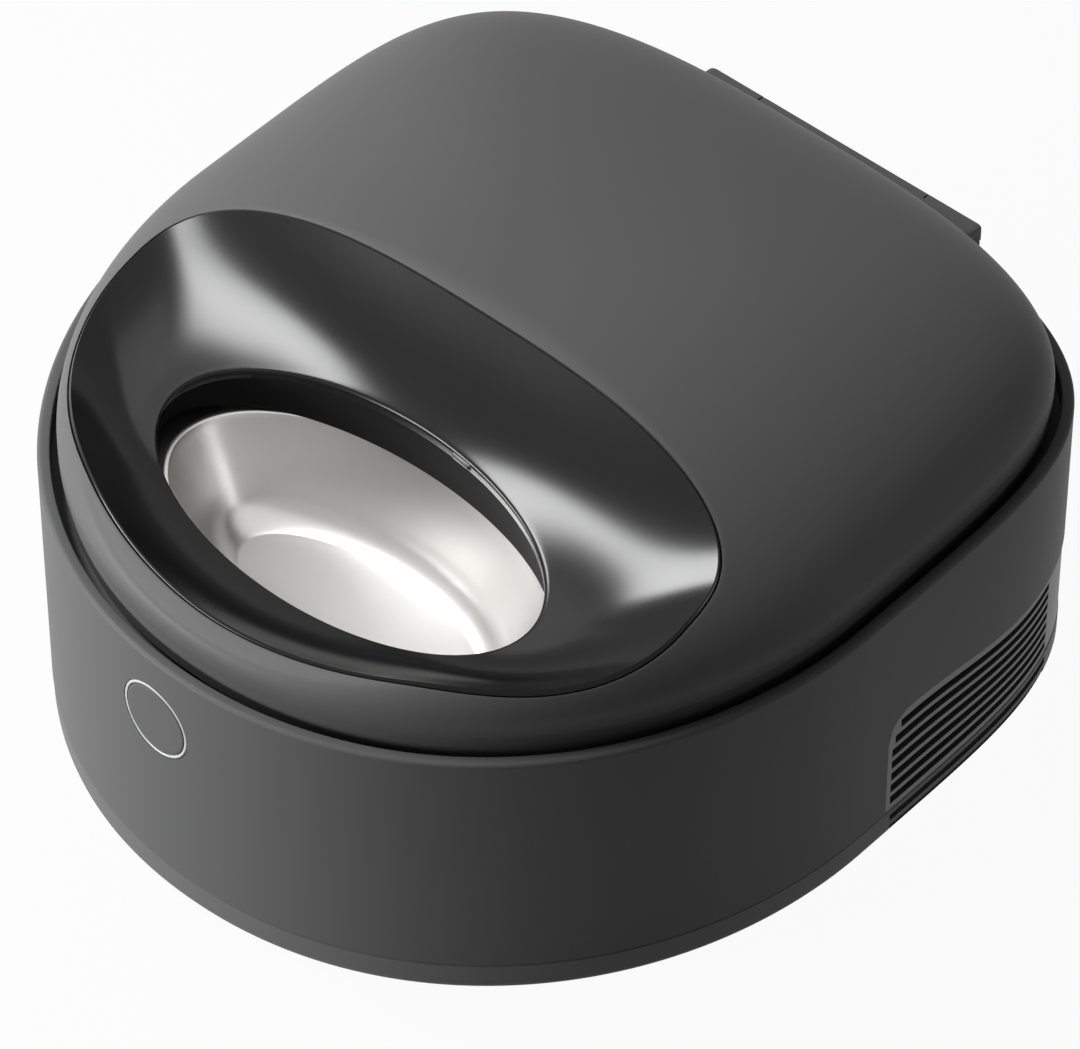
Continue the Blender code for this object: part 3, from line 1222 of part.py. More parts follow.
def ring_disc(radius, y_of, steps=32, share=1.0):
    """A loop on the front wall about the button's centre."""
    loop = []
    for k in range(steps):
        turn = 2 * math.pi * k / steps
        x = radius * share * math.cos(turn)
        loop.append((x, y_of(x), radius * share * math.sin(turn)))
    return loop


def make_button():
    """Light ring, button, switch and the board that carries them."""
    spot = (-BUTTON_LEFT, 0, BUTTON_HEIGHT)

    def face(depth):
        return lambda x: wall_front(x - BUTTON_LEFT) + depth

    def flat(y):
        return lambda x: y

    back = BUTTON_BOARD_Y - CLEAR
    inner = RING_RADIUS - RING_WALL
    loops = [ring_disc(RING_RADIUS, face(0)), ring_disc(inner, face(0)), ring_disc(inner, flat(back)),
             ring_disc(RING_RADIUS, flat(back))]
    place(loft("light_ring", loops, closed=True), "light_guide", spot)
    cap = inner - CLEAR
    under = -FRONT_DEPTH + BUTTON_THICKNESS + BUTTON_CURVE_DEPTH
    stem_end = BUTTON_BOARD_Y - SWITCH_DEPTH - PLUNGER_DEPTH - BUTTON_TRAVEL - CLEAR
    loops = [ring_disc(cap, face(0), share=0.1), ring_disc(cap, face(0), share=0.6),
             ring_disc(cap, face(0)), ring_disc(cap, flat(under)),
             ring_disc(STEM_RADIUS, flat(under)), ring_disc(STEM_RADIUS, flat(stem_end))]
    place(loft("front_button", loops), "charcoal_shell", spot)
    x, z = BUTTON_BOARD_WIDTH / 2, BUTTON_BOARD_HEIGHT / 2
    board = box("button_board", (-x, BUTTON_BOARD_Y, -z), (x, BUTTON_BOARD_Y + BOARD_THICKNESS, z))
    place(board, "board_green", spot)
    half = SWITCH_WIDTH / 2
    front = BUTTON_BOARD_Y - CLEAR
    switch = box("button_switch", (-half, front - SWITCH_DEPTH + CLEAR, -half), (half, front, half))
    plunger = rod("plunger", (0, front - SWITCH_DEPTH - PLUNGER_DEPTH + CLEAR, 0),
                  (0, front - SWITCH_DEPTH / 2, 0), PLUNGER_RADIUS, 12)
    place(join(switch, [plunger]), "black_plastic", spot)


def make_boards():
    """Main board on the pan's posts, with its larger components."""
    low = PAN_TOP_FACE + BOARD_POST_HEIGHT + CLEAR
    x, y = MAIN_BOARD_RIGHT, -MAIN_BOARD_FORWARD
    half_w, half_d = MAIN_BOARD_WIDTH / 2, MAIN_BOARD_DEPTH / 2
    board = box("main_board", (x - half_w, y - half_d, low), (x + half_w, y + half_d, low + BOARD_THICKNESS))
    chips = []
    for ax, ay, w, d, h in CHIP_SHARES:
        cx, cy = x + ax * half_w, y + ay * half_d
        chips.append(box("chip", (cx - w * half_w, cy - d * half_d, low + BOARD_THICKNESS / 2),
                         (cx + w * half_w, cy + d * half_d, low + BOARD_THICKNESS + h * CHIP_HEIGHT)))
    return place(join(board, chips), "board_green")


def make_inlet():
    """Round power socket in the rear wall, with its centre pin."""
    face = 0
    deep = INLET_LENGTH
    bottom = deep - INLET_FLOOR
    flange = INLET_RADIUS + INLET_FLANGE
    profile = [(0, -deep), (INLET_RADIUS, -deep), (INLET_RADIUS, face + CLEAR), (flange, face + CLEAR),
               (flange, face + INLET_FLANGE),
               (INLET_BORE, face + INLET_FLANGE), (INLET_BORE, -bottom), (INLET_PIN, -bottom),
               (INLET_PIN, face - INLET_PIN), (0, face - INLET_PIN)]
    inlet = turned("power_inlet", profile[::-1], 24)
    inlet.data.transform(Matrix.Rotation(math.radians(-90), 4, "X"))
    wall = rear_wall(INLET_LEFT)
    return place(inlet, "black_plastic", (-INLET_LEFT, wall, INLET_HEIGHT))


def rear_wall(x):
    """The y of the rear wall at a place across it."""
    rear = [row[1] for row in FINE if row[1].y > 0]
    return min(rear, key=lambda p: abs(p.x - x) if p.y > REAR_DEPTH / 2 else REAR_DEPTH).y


def build():
    make_body_shell()
    make_base_pan()
    make_feet()
    make_screws("pan_screw", boss_places(), PAN_BOTTOM + CLEAR, SEAM_HEIGHT + SHELL_BOSS_HEIGHT / 2)
    make_grille()
    make_fan()
    make_cooling()
    make_tub()
    make_foam()
    make_chassis()
    make_screws("chassis_screw", post_places(), CHASSIS_TOP, 12 * SCREW_RADIUS, up=False)
    make_drive()
    make_tray()
    make_bowl("food_bowl_front", 0)
    make_bowl("food_bowl_right", 1)
    make_bowl("food_bowl_left", -1)
    make_grip()
    make_gasket()
    make_liner()
    make_bezel()
    make_sensor()
    make_lid()
    make_hinge()
    make_screws("liner_screw", lid_boss_places(), LINER_HEIGHT - LINER_SCREW_HEAD - CLEAR,
                7 * SCREW_RADIUS, head=LINER_SCREW_HEAD)
    make_button()
    make_boards()
    make_inlet()


build()
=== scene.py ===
import bmesh
import bpy
import json
import math
import numpy as np
from mathutils import Matrix, Vector


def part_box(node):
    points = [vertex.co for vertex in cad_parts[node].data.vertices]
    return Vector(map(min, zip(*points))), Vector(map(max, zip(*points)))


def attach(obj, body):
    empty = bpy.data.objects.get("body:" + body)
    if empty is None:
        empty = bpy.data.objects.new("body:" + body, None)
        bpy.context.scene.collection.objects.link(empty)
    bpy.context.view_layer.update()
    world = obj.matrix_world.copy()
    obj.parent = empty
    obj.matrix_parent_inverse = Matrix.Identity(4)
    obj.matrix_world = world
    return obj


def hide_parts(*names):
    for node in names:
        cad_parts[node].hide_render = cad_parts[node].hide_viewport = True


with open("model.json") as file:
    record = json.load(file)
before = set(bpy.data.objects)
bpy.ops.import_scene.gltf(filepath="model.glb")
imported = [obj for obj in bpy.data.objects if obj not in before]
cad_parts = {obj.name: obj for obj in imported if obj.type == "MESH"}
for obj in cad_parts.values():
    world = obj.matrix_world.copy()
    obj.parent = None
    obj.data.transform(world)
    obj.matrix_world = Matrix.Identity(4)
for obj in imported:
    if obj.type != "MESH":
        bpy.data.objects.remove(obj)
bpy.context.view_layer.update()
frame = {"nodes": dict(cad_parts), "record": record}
mm = 0.001
centreY = -3.184 * mm  # the plan's centre, from which outline, lid and funnel are drawn
overrun = 2 * mm  # how far a cutter reaches past what it cuts
corners = ("front_right", "front_left", "rear_right", "rear_left")
print("frame loaded:", len(frame["nodes"]), "nodes")

# camera: the viewing angle, distance and aim, in units of the half width
cameraView = {
    "azimuth": 41.777,
    "elevation": 45.869,
    "distance": 15.275,
    "pixelsPerUnit": 456.73,
    "aim": (0.0592, 0.0066, 0.4),
    "unit": 157 * mm,
    "imageWidth": 1080,
    "filmWidth": 36,
    "farEnd": 50,
}


def makeCamera(v):
    azimuth, elevation = math.radians(v["azimuth"]), math.radians(v["elevation"])
    right = Vector((math.cos(azimuth), math.sin(azimuth), 0))
    forward = Vector((-math.sin(azimuth) * math.cos(elevation),
                      math.cos(azimuth) * math.cos(elevation), -math.sin(elevation)))
    up = right.cross(forward)
    spot = (Vector(v["aim"]) - forward * v["distance"]) * v["unit"] + Vector((0, centreY, 0))
    data = bpy.data.cameras.new("photoCamera")
    data.sensor_width = v["filmWidth"]
    data.lens = v["pixelsPerUnit"] * v["distance"] * v["filmWidth"] / v["imageWidth"]
    data.clip_end = v["farEnd"]
    camera = bpy.data.objects.new("photoCamera", data)
    camera.matrix_world = Matrix.Translation(spot) @ Matrix((right, up, -forward)).transposed().to_4x4()
    bpy.context.scene.collection.objects.link(camera)
    bpy.context.scene.camera = camera


makeCamera(cameraView)
print("camera placed")


# finishes: fine grain, broad colour drift and roughness that varies, as moulded or pressed surfaces have
grainLook = {"fineDetail": 3, "broadScale": 9, "broadDetail": 4, "depth": 0.1 * mm, "spread": 0.04}


def surface(name, colour, roughness, metallic=0.0, grain=1500, bump=0.06, drift=0.04, stretch=(1, 1, 1),
            specular=0.5):
    material = bpy.data.materials.new(name)
    material.use_nodes = True
    nodes, links = material.node_tree.nodes, material.node_tree.links
    shader = nodes["Principled BSDF"]
    shader.inputs["Metallic"].default_value = metallic
    shader.inputs["Specular IOR Level"].default_value = specular
    place = nodes.new("ShaderNodeTexCoord")
    mapping = nodes.new("ShaderNodeMapping")
    mapping.inputs["Scale"].default_value = stretch
    links.new(place.outputs["Object"], mapping.inputs["Vector"])
    fine = nodes.new("ShaderNodeTexNoise")
    fine.inputs["Scale"].default_value = grain
    fine.inputs["Detail"].default_value = grainLook["fineDetail"]
    links.new(mapping.outputs["Vector"], fine.inputs["Vector"])
    broad = nodes.new("ShaderNodeTexNoise")
    broad.inputs["Scale"].default_value = grainLook["broadScale"]
    broad.inputs["Detail"].default_value = grainLook["broadDetail"]
    links.new(place.outputs["Object"], broad.inputs["Vector"])
    lump = nodes.new("ShaderNodeBump")
    lump.inputs["Strength"].default_value = bump
    lump.inputs["Distance"].default_value = grainLook["depth"]
    links.new(fine.outputs["Fac"], lump.inputs["Height"])
    links.new(lump.outputs["Normal"], shader.inputs["Normal"])
    gloss = nodes.new("ShaderNodeMapRange")
    gloss.inputs["To Min"].default_value = roughness - grainLook["spread"]
    gloss.inputs["To Max"].default_value = roughness + grainLook["spread"]
    links.new(broad.outputs["Fac"], gloss.inputs["Value"])
    links.new(gloss.outputs["Result"], shader.inputs["Roughness"])
    tint = nodes.new("ShaderNodeMix")
    tint.data_type = "RGBA"
    tint.inputs["A"].default_value = (*[c * (1 - drift) for c in colour], 1)
    tint.inputs["B"].default_value = (*[min(c * (1 + drift), 1) for c in colour], 1)
    links.new(broad.outputs["Fac"], tint.inputs["Factor"])
    links.new(tint.outputs["Result"], shader.inputs["Base Color"])
    return material


finishes = {
    "charcoal_shell": surface("shellGrain", (0.066, 0.066, 0.067), 0.50, grain=2600, bump=0.10, specular=0.08),
    "charcoal_lid": surface("lidGrain", (0.069, 0.069, 0.070), 0.50, grain=2600, bump=0.08, specular=0.10),
    "satin_black": surface("funnelSatin", (0.0055, 0.0055, 0.006), 0.20, grain=2200, bump=0.03, specular=0.17),
    "dark_pan": surface("panGrain", (0.080, 0.080, 0.081), 0.52, grain=2200, bump=0.12, specular=0.12),
    "black_plastic": surface("blackMoulding", (0.024, 0.024, 0.025), 0.45, grain=2000, bump=0.10),
    "inner_plastic": surface("innerMoulding", (0.085, 0.086, 0.089), 0.50, grain=2200, bump=0.08, specular=0.35),
    "light_guide": surface("frostedGuide", (0.330, 0.335, 0.325), 0.36, grain=3000, bump=0.03, drift=0.02),
    "stainless": surface("satinStainless", (0.660, 0.653, 0.640), 0.33, 1.0, grain=2600, bump=0.16, drift=0.05),
    "steel": surface("plainSteel", (0.520, 0.520, 0.530), 0.34, 1.0, grain=900, bump=0.05),
    "aluminium": surface("sawnAluminium", (0.680, 0.690, 0.700), 0.38, 1.0, grain=500, stretch=(1, 8, 1)),
    "ceramic": surface("tileCeramic", (0.820, 0.810, 0.780), 0.62, grain=2600, bump=0.08),
    "rubber": surface("footRubber", (0.030, 0.030, 0.031), 0.85, grain=1800, bump=0.20),
    "foam": surface("cupFoam", (0.700, 0.700, 0.680), 0.92, grain=700, bump=0.50, drift=0.08),
    "board_green": surface("solderMask", (0.018, 0.110, 0.055), 0.42, grain=900, bump=0.10, drift=0.15),
    "acetal": surface("gearAcetal", (0.740, 0.730, 0.690), 0.46, grain=1600, bump=0.05),
    "bronze": surface("sinteredBronze", (0.520, 0.350, 0.180), 0.44, 1.0, grain=1800, bump=0.18),
}
# liner material: darker and less glossy than the black plastic it stands for, painted shade for the unlit inside of
# the feeding opening
linerBlackWithPaintedShade = surface("linerBlackWithPaintedShade", (0.010, 0.010, 0.011), 0.62, grain=2000, bump=0.10, specular=0.05)
for part in frame["record"]["subparts"]:
    node = frame["nodes"][part["node"]]
    node.data.materials.clear()
    node.data.materials.append(finishes[part["material_slot"]])
print("finishes made:", len(finishes))


# pieces: every one is a mesh in the part's frame that rides on a body and may stand for nodes
def finishPiece(name, mesh, slotName, bodyName, nodes=(), smooth=38, shift=True, material=None):
    if shift:
        mesh.transform(Matrix.Translation((0, centreY, 0)))
    mesh.materials.clear()
    mesh.materials.append(material or finishes[slotName])
    mesh.shade_smooth()
    mesh.set_sharp_from_angle(angle=math.radians(smooth))
    piece = bpy.data.objects.new(name, mesh)
    bpy.context.scene.collection.objects.link(piece)
    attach(piece, bodyName)
    if nodes:
        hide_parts(*nodes)
    return piece


def softenEdges(piece, width, angle):
    edges = piece.modifiers.new("edges", "BEVEL")
    edges.width = width
    edges.segments = 2
    edges.limit_method = "ANGLE"
    edges.angle_limit = math.radians(angle)


def nodeMiddle(name):
    low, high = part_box(name)
    return (low + high) / 2


def meshFrom(bm, name):
    bmesh.ops.recalc_face_normals(bm, faces=bm.faces)
    mesh = bpy.data.meshes.new(name)
    bm.to_mesh(mesh)
    bm.free()
    return mesh


def skin(name, loops, closed=False):
    bm = bmesh.new()
    rows = [[bm.verts.new(p) for p in loop] for loop in loops]
    pairs = list(zip(rows, rows[1:])) + ([(rows[-1], rows[0])] if closed else [])
    for low, high in pairs:
        for k in range(len(low)):
            j = (k + 1) % len(low)
            bm.faces.new((low[k], low[j], high[j], high[k]))
    if not closed:
        bm.faces.new(rows[0][::-1])
        bm.faces.new(rows[-1])
    return meshFrom(bm, name)


def turnedMesh(name, profile, steps=144, closed=True):
    loops = [[(r * math.cos(2 * math.pi * k / steps), r * math.sin(2 * math.pi * k / steps), z)
              for k in range(steps)] for r, z in profile]
    return skin(name, loops, closed)


def roundedBox(name, low, high, radius, steps=4):
    bm = bmesh.new()
    low, high = Vector(low), Vector(high)
    place = Matrix.Translation((low + high) / 2) @ Matrix.Diagonal((*(high - low), 1))
    bmesh.ops.create_cube(bm, size=1, matrix=place)
    bmesh.ops.bevel(bm, geom=list(bm.edges), offset=radius, segments=steps, profile=0.5, affect="EDGES")
    return meshFrom(bm, name)


def barMesh(name, start, end, radius, steps=32):
    bm = bmesh.new()
    start, end = Vector(start), Vector(end)
    turn = (end - start).to_track_quat("Z", "Y").to_matrix().to_4x4()
    bmesh.ops.create_cone(bm, cap_ends=True, segments=steps, radius1=radius, radius2=radius,
                          depth=(end - start).length, matrix=Matrix.Translation((start + end) / 2) @ turn)
    return meshFrom(bm, name)


# cut or join meshes with exact Booleans
def combined(mesh, others, operation):
    base = bpy.data.objects.new(mesh.name, mesh)
    bpy.context.scene.collection.objects.link(base)
    helpers = []
    for other in others:
        helper = bpy.data.objects.new("helper", other)
        bpy.context.scene.collection.objects.link(helper)
        helpers.append(helper)
        boolean = base.modifiers.new("cut", "BOOLEAN")
        boolean.operation = operation
        boolean.solver = "EXACT"
        boolean.object = helper
    bpy.context.view_layer.update()
    made = bpy.data.meshes.new_from_object(base.evaluated_get(bpy.context.evaluated_depsgraph_get()))
    for thing in [base] + helpers:
        bpy.data.objects.remove(thing)
    return made


# inset and height of each ring of a rounded edge
def filletRings(inset, height, radius, quarter, steps):
    rings = []
    for k in range(steps + 1):
        angle = math.pi / 2 * k / steps
        s, c = math.sin(angle), math.cos(angle)
        if quarter == "outerTop":
            rings.append((inset + radius * (1 - c), height - radius * (1 - s)))
        if quarter == "innerTop":
            rings.append((inset - radius * (1 - s), height - radius * (1 - c)))
        if quarter == "outerBottom":
            rings.append((inset + radius * (1 - s), height + radius * (1 - c)))
    return rings


# plan outline of the body: two superellipse halves that meet on the widest line
outline = {
    "halfWidth": 157 * mm,
    "frontDepth": 167 * mm,
    "rearDepth": 165 * mm,
    "frontPowers": (2.0, 2.06),
    "rearPowers": (4.7, 3.0),
    "columns": 480,
}


def outlineTable(o, count=4000):
    turn = np.linspace(-math.pi / 2, math.pi / 2, count + 1)
    front = turn < 0
    side = np.where(front, o["frontPowers"][1], o["rearPowers"][1])
    power = np.where(front, o["frontPowers"][0], o["rearPowers"][0])
    depth = np.where(front, o["frontDepth"], o["rearDepth"])
    x = o["halfWidth"] * np.cos(turn).clip(0) ** (2 / side)
    y = depth * np.sign(np.sin(turn)) * np.abs(np.sin(turn)) ** (2 / power)
    x[0] = x[-1] = 0
    length = np.concatenate([[0], np.cumsum(np.hypot(np.diff(x), np.diff(y)))])
    tx, ty = np.gradient(x), np.gradient(y)
    size = np.hypot(tx, ty)
    return {"length": length, "x": x, "y": y, "nx": -ty / size, "ny": tx / size}


outlineData = outlineTable(outline)


def outlineSpot(length, inset=0.0):
    t = outlineData
    x, y = np.interp(length, t["length"], t["x"]), np.interp(length, t["length"], t["y"])
    nx, ny = np.interp(length, t["length"], t["nx"]), np.interp(length, t["length"], t["ny"])
    return x + nx * inset, y + ny * inset


def planXY(inset=0.0):
    half = outline["columns"] // 2
    x, y = outlineSpot(np.linspace(0, outlineData["length"][-1], half + 1), inset)
    x[0] = x[-1] = 0
    return np.concatenate([x, -x[-2:0:-1]]), np.concatenate([y, y[-2:0:-1]])


def planLoop(inset, height, share=1.0):
    x, y = planXY(inset)
    return [(a * share, b * share, height) for a, b in zip(x, y)]


def circleLoop(radius, height, centre):
    x, y = planXY()
    away = np.hypot(x, y - centre)
    return [(a / d * radius, centre + (b - centre) / d * radius, height) for a, b, d in zip(x, y, away)]


def wallFront(x):
    half = len(outlineData["x"]) // 2
    return np.interp(abs(x), outlineData["x"][:half], outlineData["y"][:half])


widestLength = float(np.interp(0, outlineData["y"], outlineData["length"]))


# a band that follows the right wall, from a length behind the widest line
def wallBand(name, start, length, inner, outer, low, high, steps=72):
    loops = []
    for k in range(steps + 1):
        along = length * k / steps
        ax, ay = outlineSpot(widestLength + start + along, inner)
        bx, by = outlineSpot(widestLength + start + along, outer)
        bottom = low(along) if callable(low) else low
        top = high(along) if callable(high) else high
        loops.append([(ax, ay, bottom), (bx, by, bottom), (bx, by, top), (ax, ay, top)])
    return skin(name, loops)


# body shell: wall, rounded rim, groove floor and deck, with its openings
shell = {
    "bottom": 14.3 * mm, "rim": 113.5 * mm, "rimFillet": 1.6 * mm, "rimBand": 4.4 * mm,
    "deck": 104.5 * mm, "deckThickness": 2.4 * mm, "wall": 2.6 * mm, "deckHole": 141.4 * mm,
    "carouselBack": 10 * mm, "edge": 0.6 * mm, "gap": 0.3 * mm,
    "innerFillet": 0.5 * mm, "pocketFront": 158.1 * mm, "pocketFloor": 99.5 * mm, "pocketHalf": 62.6 * mm,
    "pocketWall": 2.6 * mm, "pocketBack": 175 * mm, "pocketTop": 120 * mm, "blockDrop": 4 * mm,
    "buttonLeft": 12 * mm, "buttonHeight": 84.3 * mm, "ringRadius": 15.2 * mm,
    "buttonCut": (-170 * mm, -158 * mm),
    "inletLeft": 36 * mm, "inletHeight": 32 * mm, "inletRadius": 7 * mm, "inletCut": (170 * mm, 155 * mm),
}
grille = {
    "start": 12 * mm, "length": 136 * mm, "top": 60 * mm, "corner": 11 * mm, "setBack": 0.5 * mm,
    "depth": 3.4 * mm, "margin": 2.6 * mm, "endMargin": 40 * mm, "slotHeight": 3.8 * mm, "pitch": 5.9 * mm,
    "fall": 8 * mm, "fallStart": 12 * mm, "fallLength": 70 * mm, "fallFoot": 14 * mm,
    "panSlots": (3.2 * mm, 8.6 * mm),
    "panSlotHeight": 3.2 * mm, "panSlotDepth": 1.4 * mm,
    "slotStarts": (0, 0, 0, 0, 0, 0.01, 0.03), "edge": 0.3 * mm,
}


# the slats and the top edge sink towards the rear, the more the higher they are
def fallen(height, along):
    g = grille
    share = min(max((along - g["fallStart"]) / g["fallLength"], 0), 1)
    fall = g["fall"] * share * share * (3 - 2 * share)
    return height - fall * (height - g["fallFoot"]) / (g["top"] - g["fallFoot"])


def grilleTop(along):
    end = min(along, grille["length"] - along)
    if end >= grille["corner"]:
        return fallen(grille["top"], along)
    reach = grille["corner"] - max(end, 0)
    drop = grille["corner"] - math.sqrt(max(grille["corner"] ** 2 - reach ** 2, 0))
    return fallen(grille["top"] - drop, along)


def makeBodyShell(s, g):
    under = s["deck"] - s["deckThickness"]
    loops = [planLoop(s["edge"], s["bottom"]), planLoop(0, s["bottom"] + s["edge"])]
    loops += [planLoop(i, z) for i, z in filletRings(0, s["rim"], s["rimFillet"], "outerTop", 7)]
    loops += [planLoop(i, z) for i, z in filletRings(s["rimBand"], s["rim"], s["innerFillet"], "innerTop", 4)]
    loops += [planLoop(s["rimBand"], s["deck"]),
              circleLoop(s["deckHole"], s["deck"], s["carouselBack"]),
              circleLoop(s["deckHole"], under, s["carouselBack"]),
              planLoop(s["wall"], under), planLoop(s["wall"], s["bottom"])]
    body = skin("bodyShell", loops, closed=True)
    half, wall = s["pocketHalf"], s["pocketWall"]
    block = roundedBox("block", (-half - wall, s["pocketFront"] - wall / 2, s["pocketFloor"] - s["blockDrop"]),
                       (half + wall, outline["rearDepth"] - wall / 2, under + s["deckThickness"] / 2), 0.2 * mm, 1)
    body = combined(body, [block], "UNION")
    pocket = roundedBox("pocket", (-half, s["pocketFront"], s["pocketFloor"]),
                        (half, s["pocketBack"], s["pocketTop"]), 0.4 * mm, 2)
    hole = barMesh("hole", *[(-s["buttonLeft"], y, s["buttonHeight"]) for y in s["buttonCut"]],
                   s["ringRadius"] + s["gap"], 96)
    inlet = barMesh("inlet", *[(-s["inletLeft"], y, s["inletHeight"]) for y in s["inletCut"]],
                    s["inletRadius"] + s["gap"], 48)
    window = wallBand("window", g["start"] - s["gap"], g["length"] + 2 * s["gap"], -overrun, s["wall"] + overrun,
                      s["bottom"] - overrun, lambda a: grilleTop(a) + s["gap"])
    body = combined(body, [pocket, hole, inlet, window], "DIFFERENCE")
    finishPiece("bodyShell", body, "charcoal_shell", "base", ["body_shell"], smooth=32)


makeBodyShell(shell, grille)
print("body shell made")


# grille insert: slats that follow the wall towards the rear corner
def makeGrille(s, g):
    outer, inner = g["setBack"], g["setBack"] + g["depth"]
    insert = wallBand("grilleInsert", g["start"], g["length"], inner, outer, s["bottom"], grilleTop)
    slots = []
    for k, share in enumerate(g["slotStarts"]):
        low = s["bottom"] + g["margin"] + k * g["pitch"]
        inset = g["margin"] + g["length"] * share
        slots.append(wallBand("slot", g["start"] + inset, g["length"] - inset - g["endMargin"],
                              inner + overrun, outer - overrun, lambda a: fallen(low, a + inset),
                              lambda a: fallen(low + g["slotHeight"], a + inset), 60))
    piece = finishPiece("grilleInsert", combined(insert, slots, "DIFFERENCE"), "black_plastic", "base",
                        ["grille_insert"], smooth=30)
    softenEdges(piece, g["edge"], 50)


makeGrille(shell, grille)
print("grille made")


# base pan: shallow tray with a rounded lower edge, screw and foot recesses
pan = {
    "bottom": 1.5 * mm, "top": 14 * mm, "inset": 0.3 * mm, "wall": 2.4 * mm, "floor": 2.5 * mm,
    "fillet": 4 * mm, "edge": 0.35 * mm, "recessTop": 16 * mm, "recessRadius": 3.7 * mm,
    "seatTop": 2.5 * mm, "seatRadius": 9.3 * mm, "middleShare": 0.1,
}


def makePan(p, g):
    inner, floor = p["inset"] + p["wall"], p["bottom"] + p["floor"]
    loops = [planLoop(p["inset"] + p["fillet"], p["bottom"], p["middleShare"])]
    loops += [planLoop(i, z) for i, z in filletRings(p["inset"], p["bottom"], p["fillet"], "outerBottom", 9)]
    loops += [planLoop(p["inset"], p["top"] - p["edge"]), planLoop(p["inset"] + p["edge"], p["top"]),
              planLoop(inner, p["top"]), planLoop(inner, floor), planLoop(inner, floor, p["middleShare"])]
    body = skin("basePan", loops)
    cuts = []
    for start, top, radius, steps in (("pan_screw_", p["recessTop"], p["recessRadius"], 32),
                                      ("foot_", p["seatTop"], p["seatRadius"], 48)):
        for corner in corners:
            middle = nodeMiddle(start + corner)
            x, y = middle.x, middle.y - centreY
            cuts.append(barMesh("recess", (x, y, 0), (x, y, top), radius, steps))
    for low in g["panSlots"]:
        cuts.append(wallBand("panSlot", g["start"] + g["margin"], g["length"] - g["margin"] - g["endMargin"],
                             p["inset"] + g["panSlotDepth"], -overrun, low, low + g["panSlotHeight"]))
    finishPiece("basePan", combined(body, cuts, "DIFFERENCE"), "dark_pan", "base", ["base_pan"], smooth=32)


makePan(pan, grille)

# feet: turned rubber pads with a softened lower edge
foot = {"radius": 9 * mm, "height": 2.2 * mm, "edge": 0.5 * mm, "hole": 0.3 * mm, "hollow": 0.25 * mm,
        "lip": (2.2 * mm, 1.8 * mm)}


def makeFeet(f):
    r, hollow, lip = f["radius"], f["hollow"], f["lip"]
    profile = [(f["hole"], hollow), (r - lip[0], hollow), (r - lip[1], 0), (r - f["edge"], 0),
               (r - 0.1 * mm, f["edge"]), (r, f["height"]), (f["hole"], f["height"])]
    for corner in corners:
        name = "foot_" + corner
        middle = nodeMiddle(name)
        mesh = turnedMesh(name + "_pad", profile, 64, closed=False)
        mesh.transform(Matrix.Translation((middle.x, middle.y, 0)))
        finishPiece(name + "_pad", mesh, "rubber", "base", [name], shift=False)


makeFeet(foot)
print("base pan and feet made")


# lid: dome, band, skirt and the hole for the funnel
lid = {
    "inset": 7.2 * mm, "bottom": 118.5 * mm, "shoulder": 123.9 * mm, "rise": 47 * mm,
    "power": 2.6, "round": 1.75, "rearFullness": 0.6, "slopeHeight": 130 * mm, "slopeFrom": 153 * mm,
    "slope": 0.325, "crease": 1.5 * mm, "wall": 2.4 * mm, "skirtInset": 1.0 * mm, "skirtWall": 1.8 * mm,
    "skirtDrop": 10 * mm, "rings": 52, "ringPull": 2.6, "innerRings": 14, "edge": 0.5 * mm,
    "soft": 0.15 * mm, "gap": 0.3 * mm,
}
funnel = {
    "halfWidth": 127 * mm, "frontDepth": 90.5 * mm, "rearDepth": 45 * mm, "forward": 61 * mm,
    "frontPower": 1.9, "rearPower": 3.4, "dish": 2.5 * mm, "wall": 1.8 * mm, "edge": 5 * mm,
    "openingWidth": 80.7 * mm, "openingDepth": 37.1 * mm, "openingForward": 84 * mm,
    "openingHeight": 128.7 * mm, "openingSlope": 0.27, "lip": 3.8 * mm, "rings": 40, "chamfer": 1.0 * mm,
    "bendStart": 0.965, "bendDepth": 1.2 * mm, "lipEdge": 0.3 * mm, "underRings": 10,
}
lidX, lidY = planXY(lid["inset"])
lidAngles = np.unwrap(np.arctan2(lidY, lidX))
lidRadii = np.hypot(lidX, lidY)
order = np.argsort(np.mod(lidAngles, 2 * math.pi))
lidAngles, lidRadii = np.mod(lidAngles, 2 * math.pi)[order], lidRadii[order]


# the lid's top: a dome that a plane slopes down at the front, with a soft crease between them
def lidHeight(x, y):
    reach = np.interp(np.mod(np.arctan2(y, x), 2 * math.pi), lidAngles, lidRadii, period=2 * math.pi)
    inside = (1 - np.hypot(x, y) / reach).clip(0, 1)
    power = lid["power"] + lid["rearFullness"] * np.maximum(y, 0) / outline["rearDepth"]
    dome = lid["shoulder"] + lid["rise"] * (1 - (1 - inside) ** power) ** (1 / lid["round"])
    slope = lid["slopeHeight"] + lid["slope"] * (y + lid["slopeFrom"])
    nearer = np.minimum(dome, slope)
    blend = np.exp((nearer - dome) / lid["crease"]) + np.exp((nearer - slope) / lid["crease"])
    return nearer - lid["crease"] * np.log(blend)


def funnelEdge(angle, grow=0.0):
    rear = np.sin(angle) > 0
    depth = np.where(rear, funnel["rearDepth"], funnel["frontDepth"]) + grow
    power = np.where(rear, funnel["rearPower"], funnel["frontPower"])
    c, s = np.abs(np.cos(angle)) / (funnel["halfWidth"] + grow), np.abs(np.sin(angle)) / depth
    reach = (c ** power + s ** power) ** (-1 / power)
    return reach * np.cos(angle), reach * np.sin(angle) - funnel["forward"]


def loopOf(x, y, z):
    return [tuple(p) for p in np.stack([x, y, np.broadcast_to(z, x.shape)], 1)]


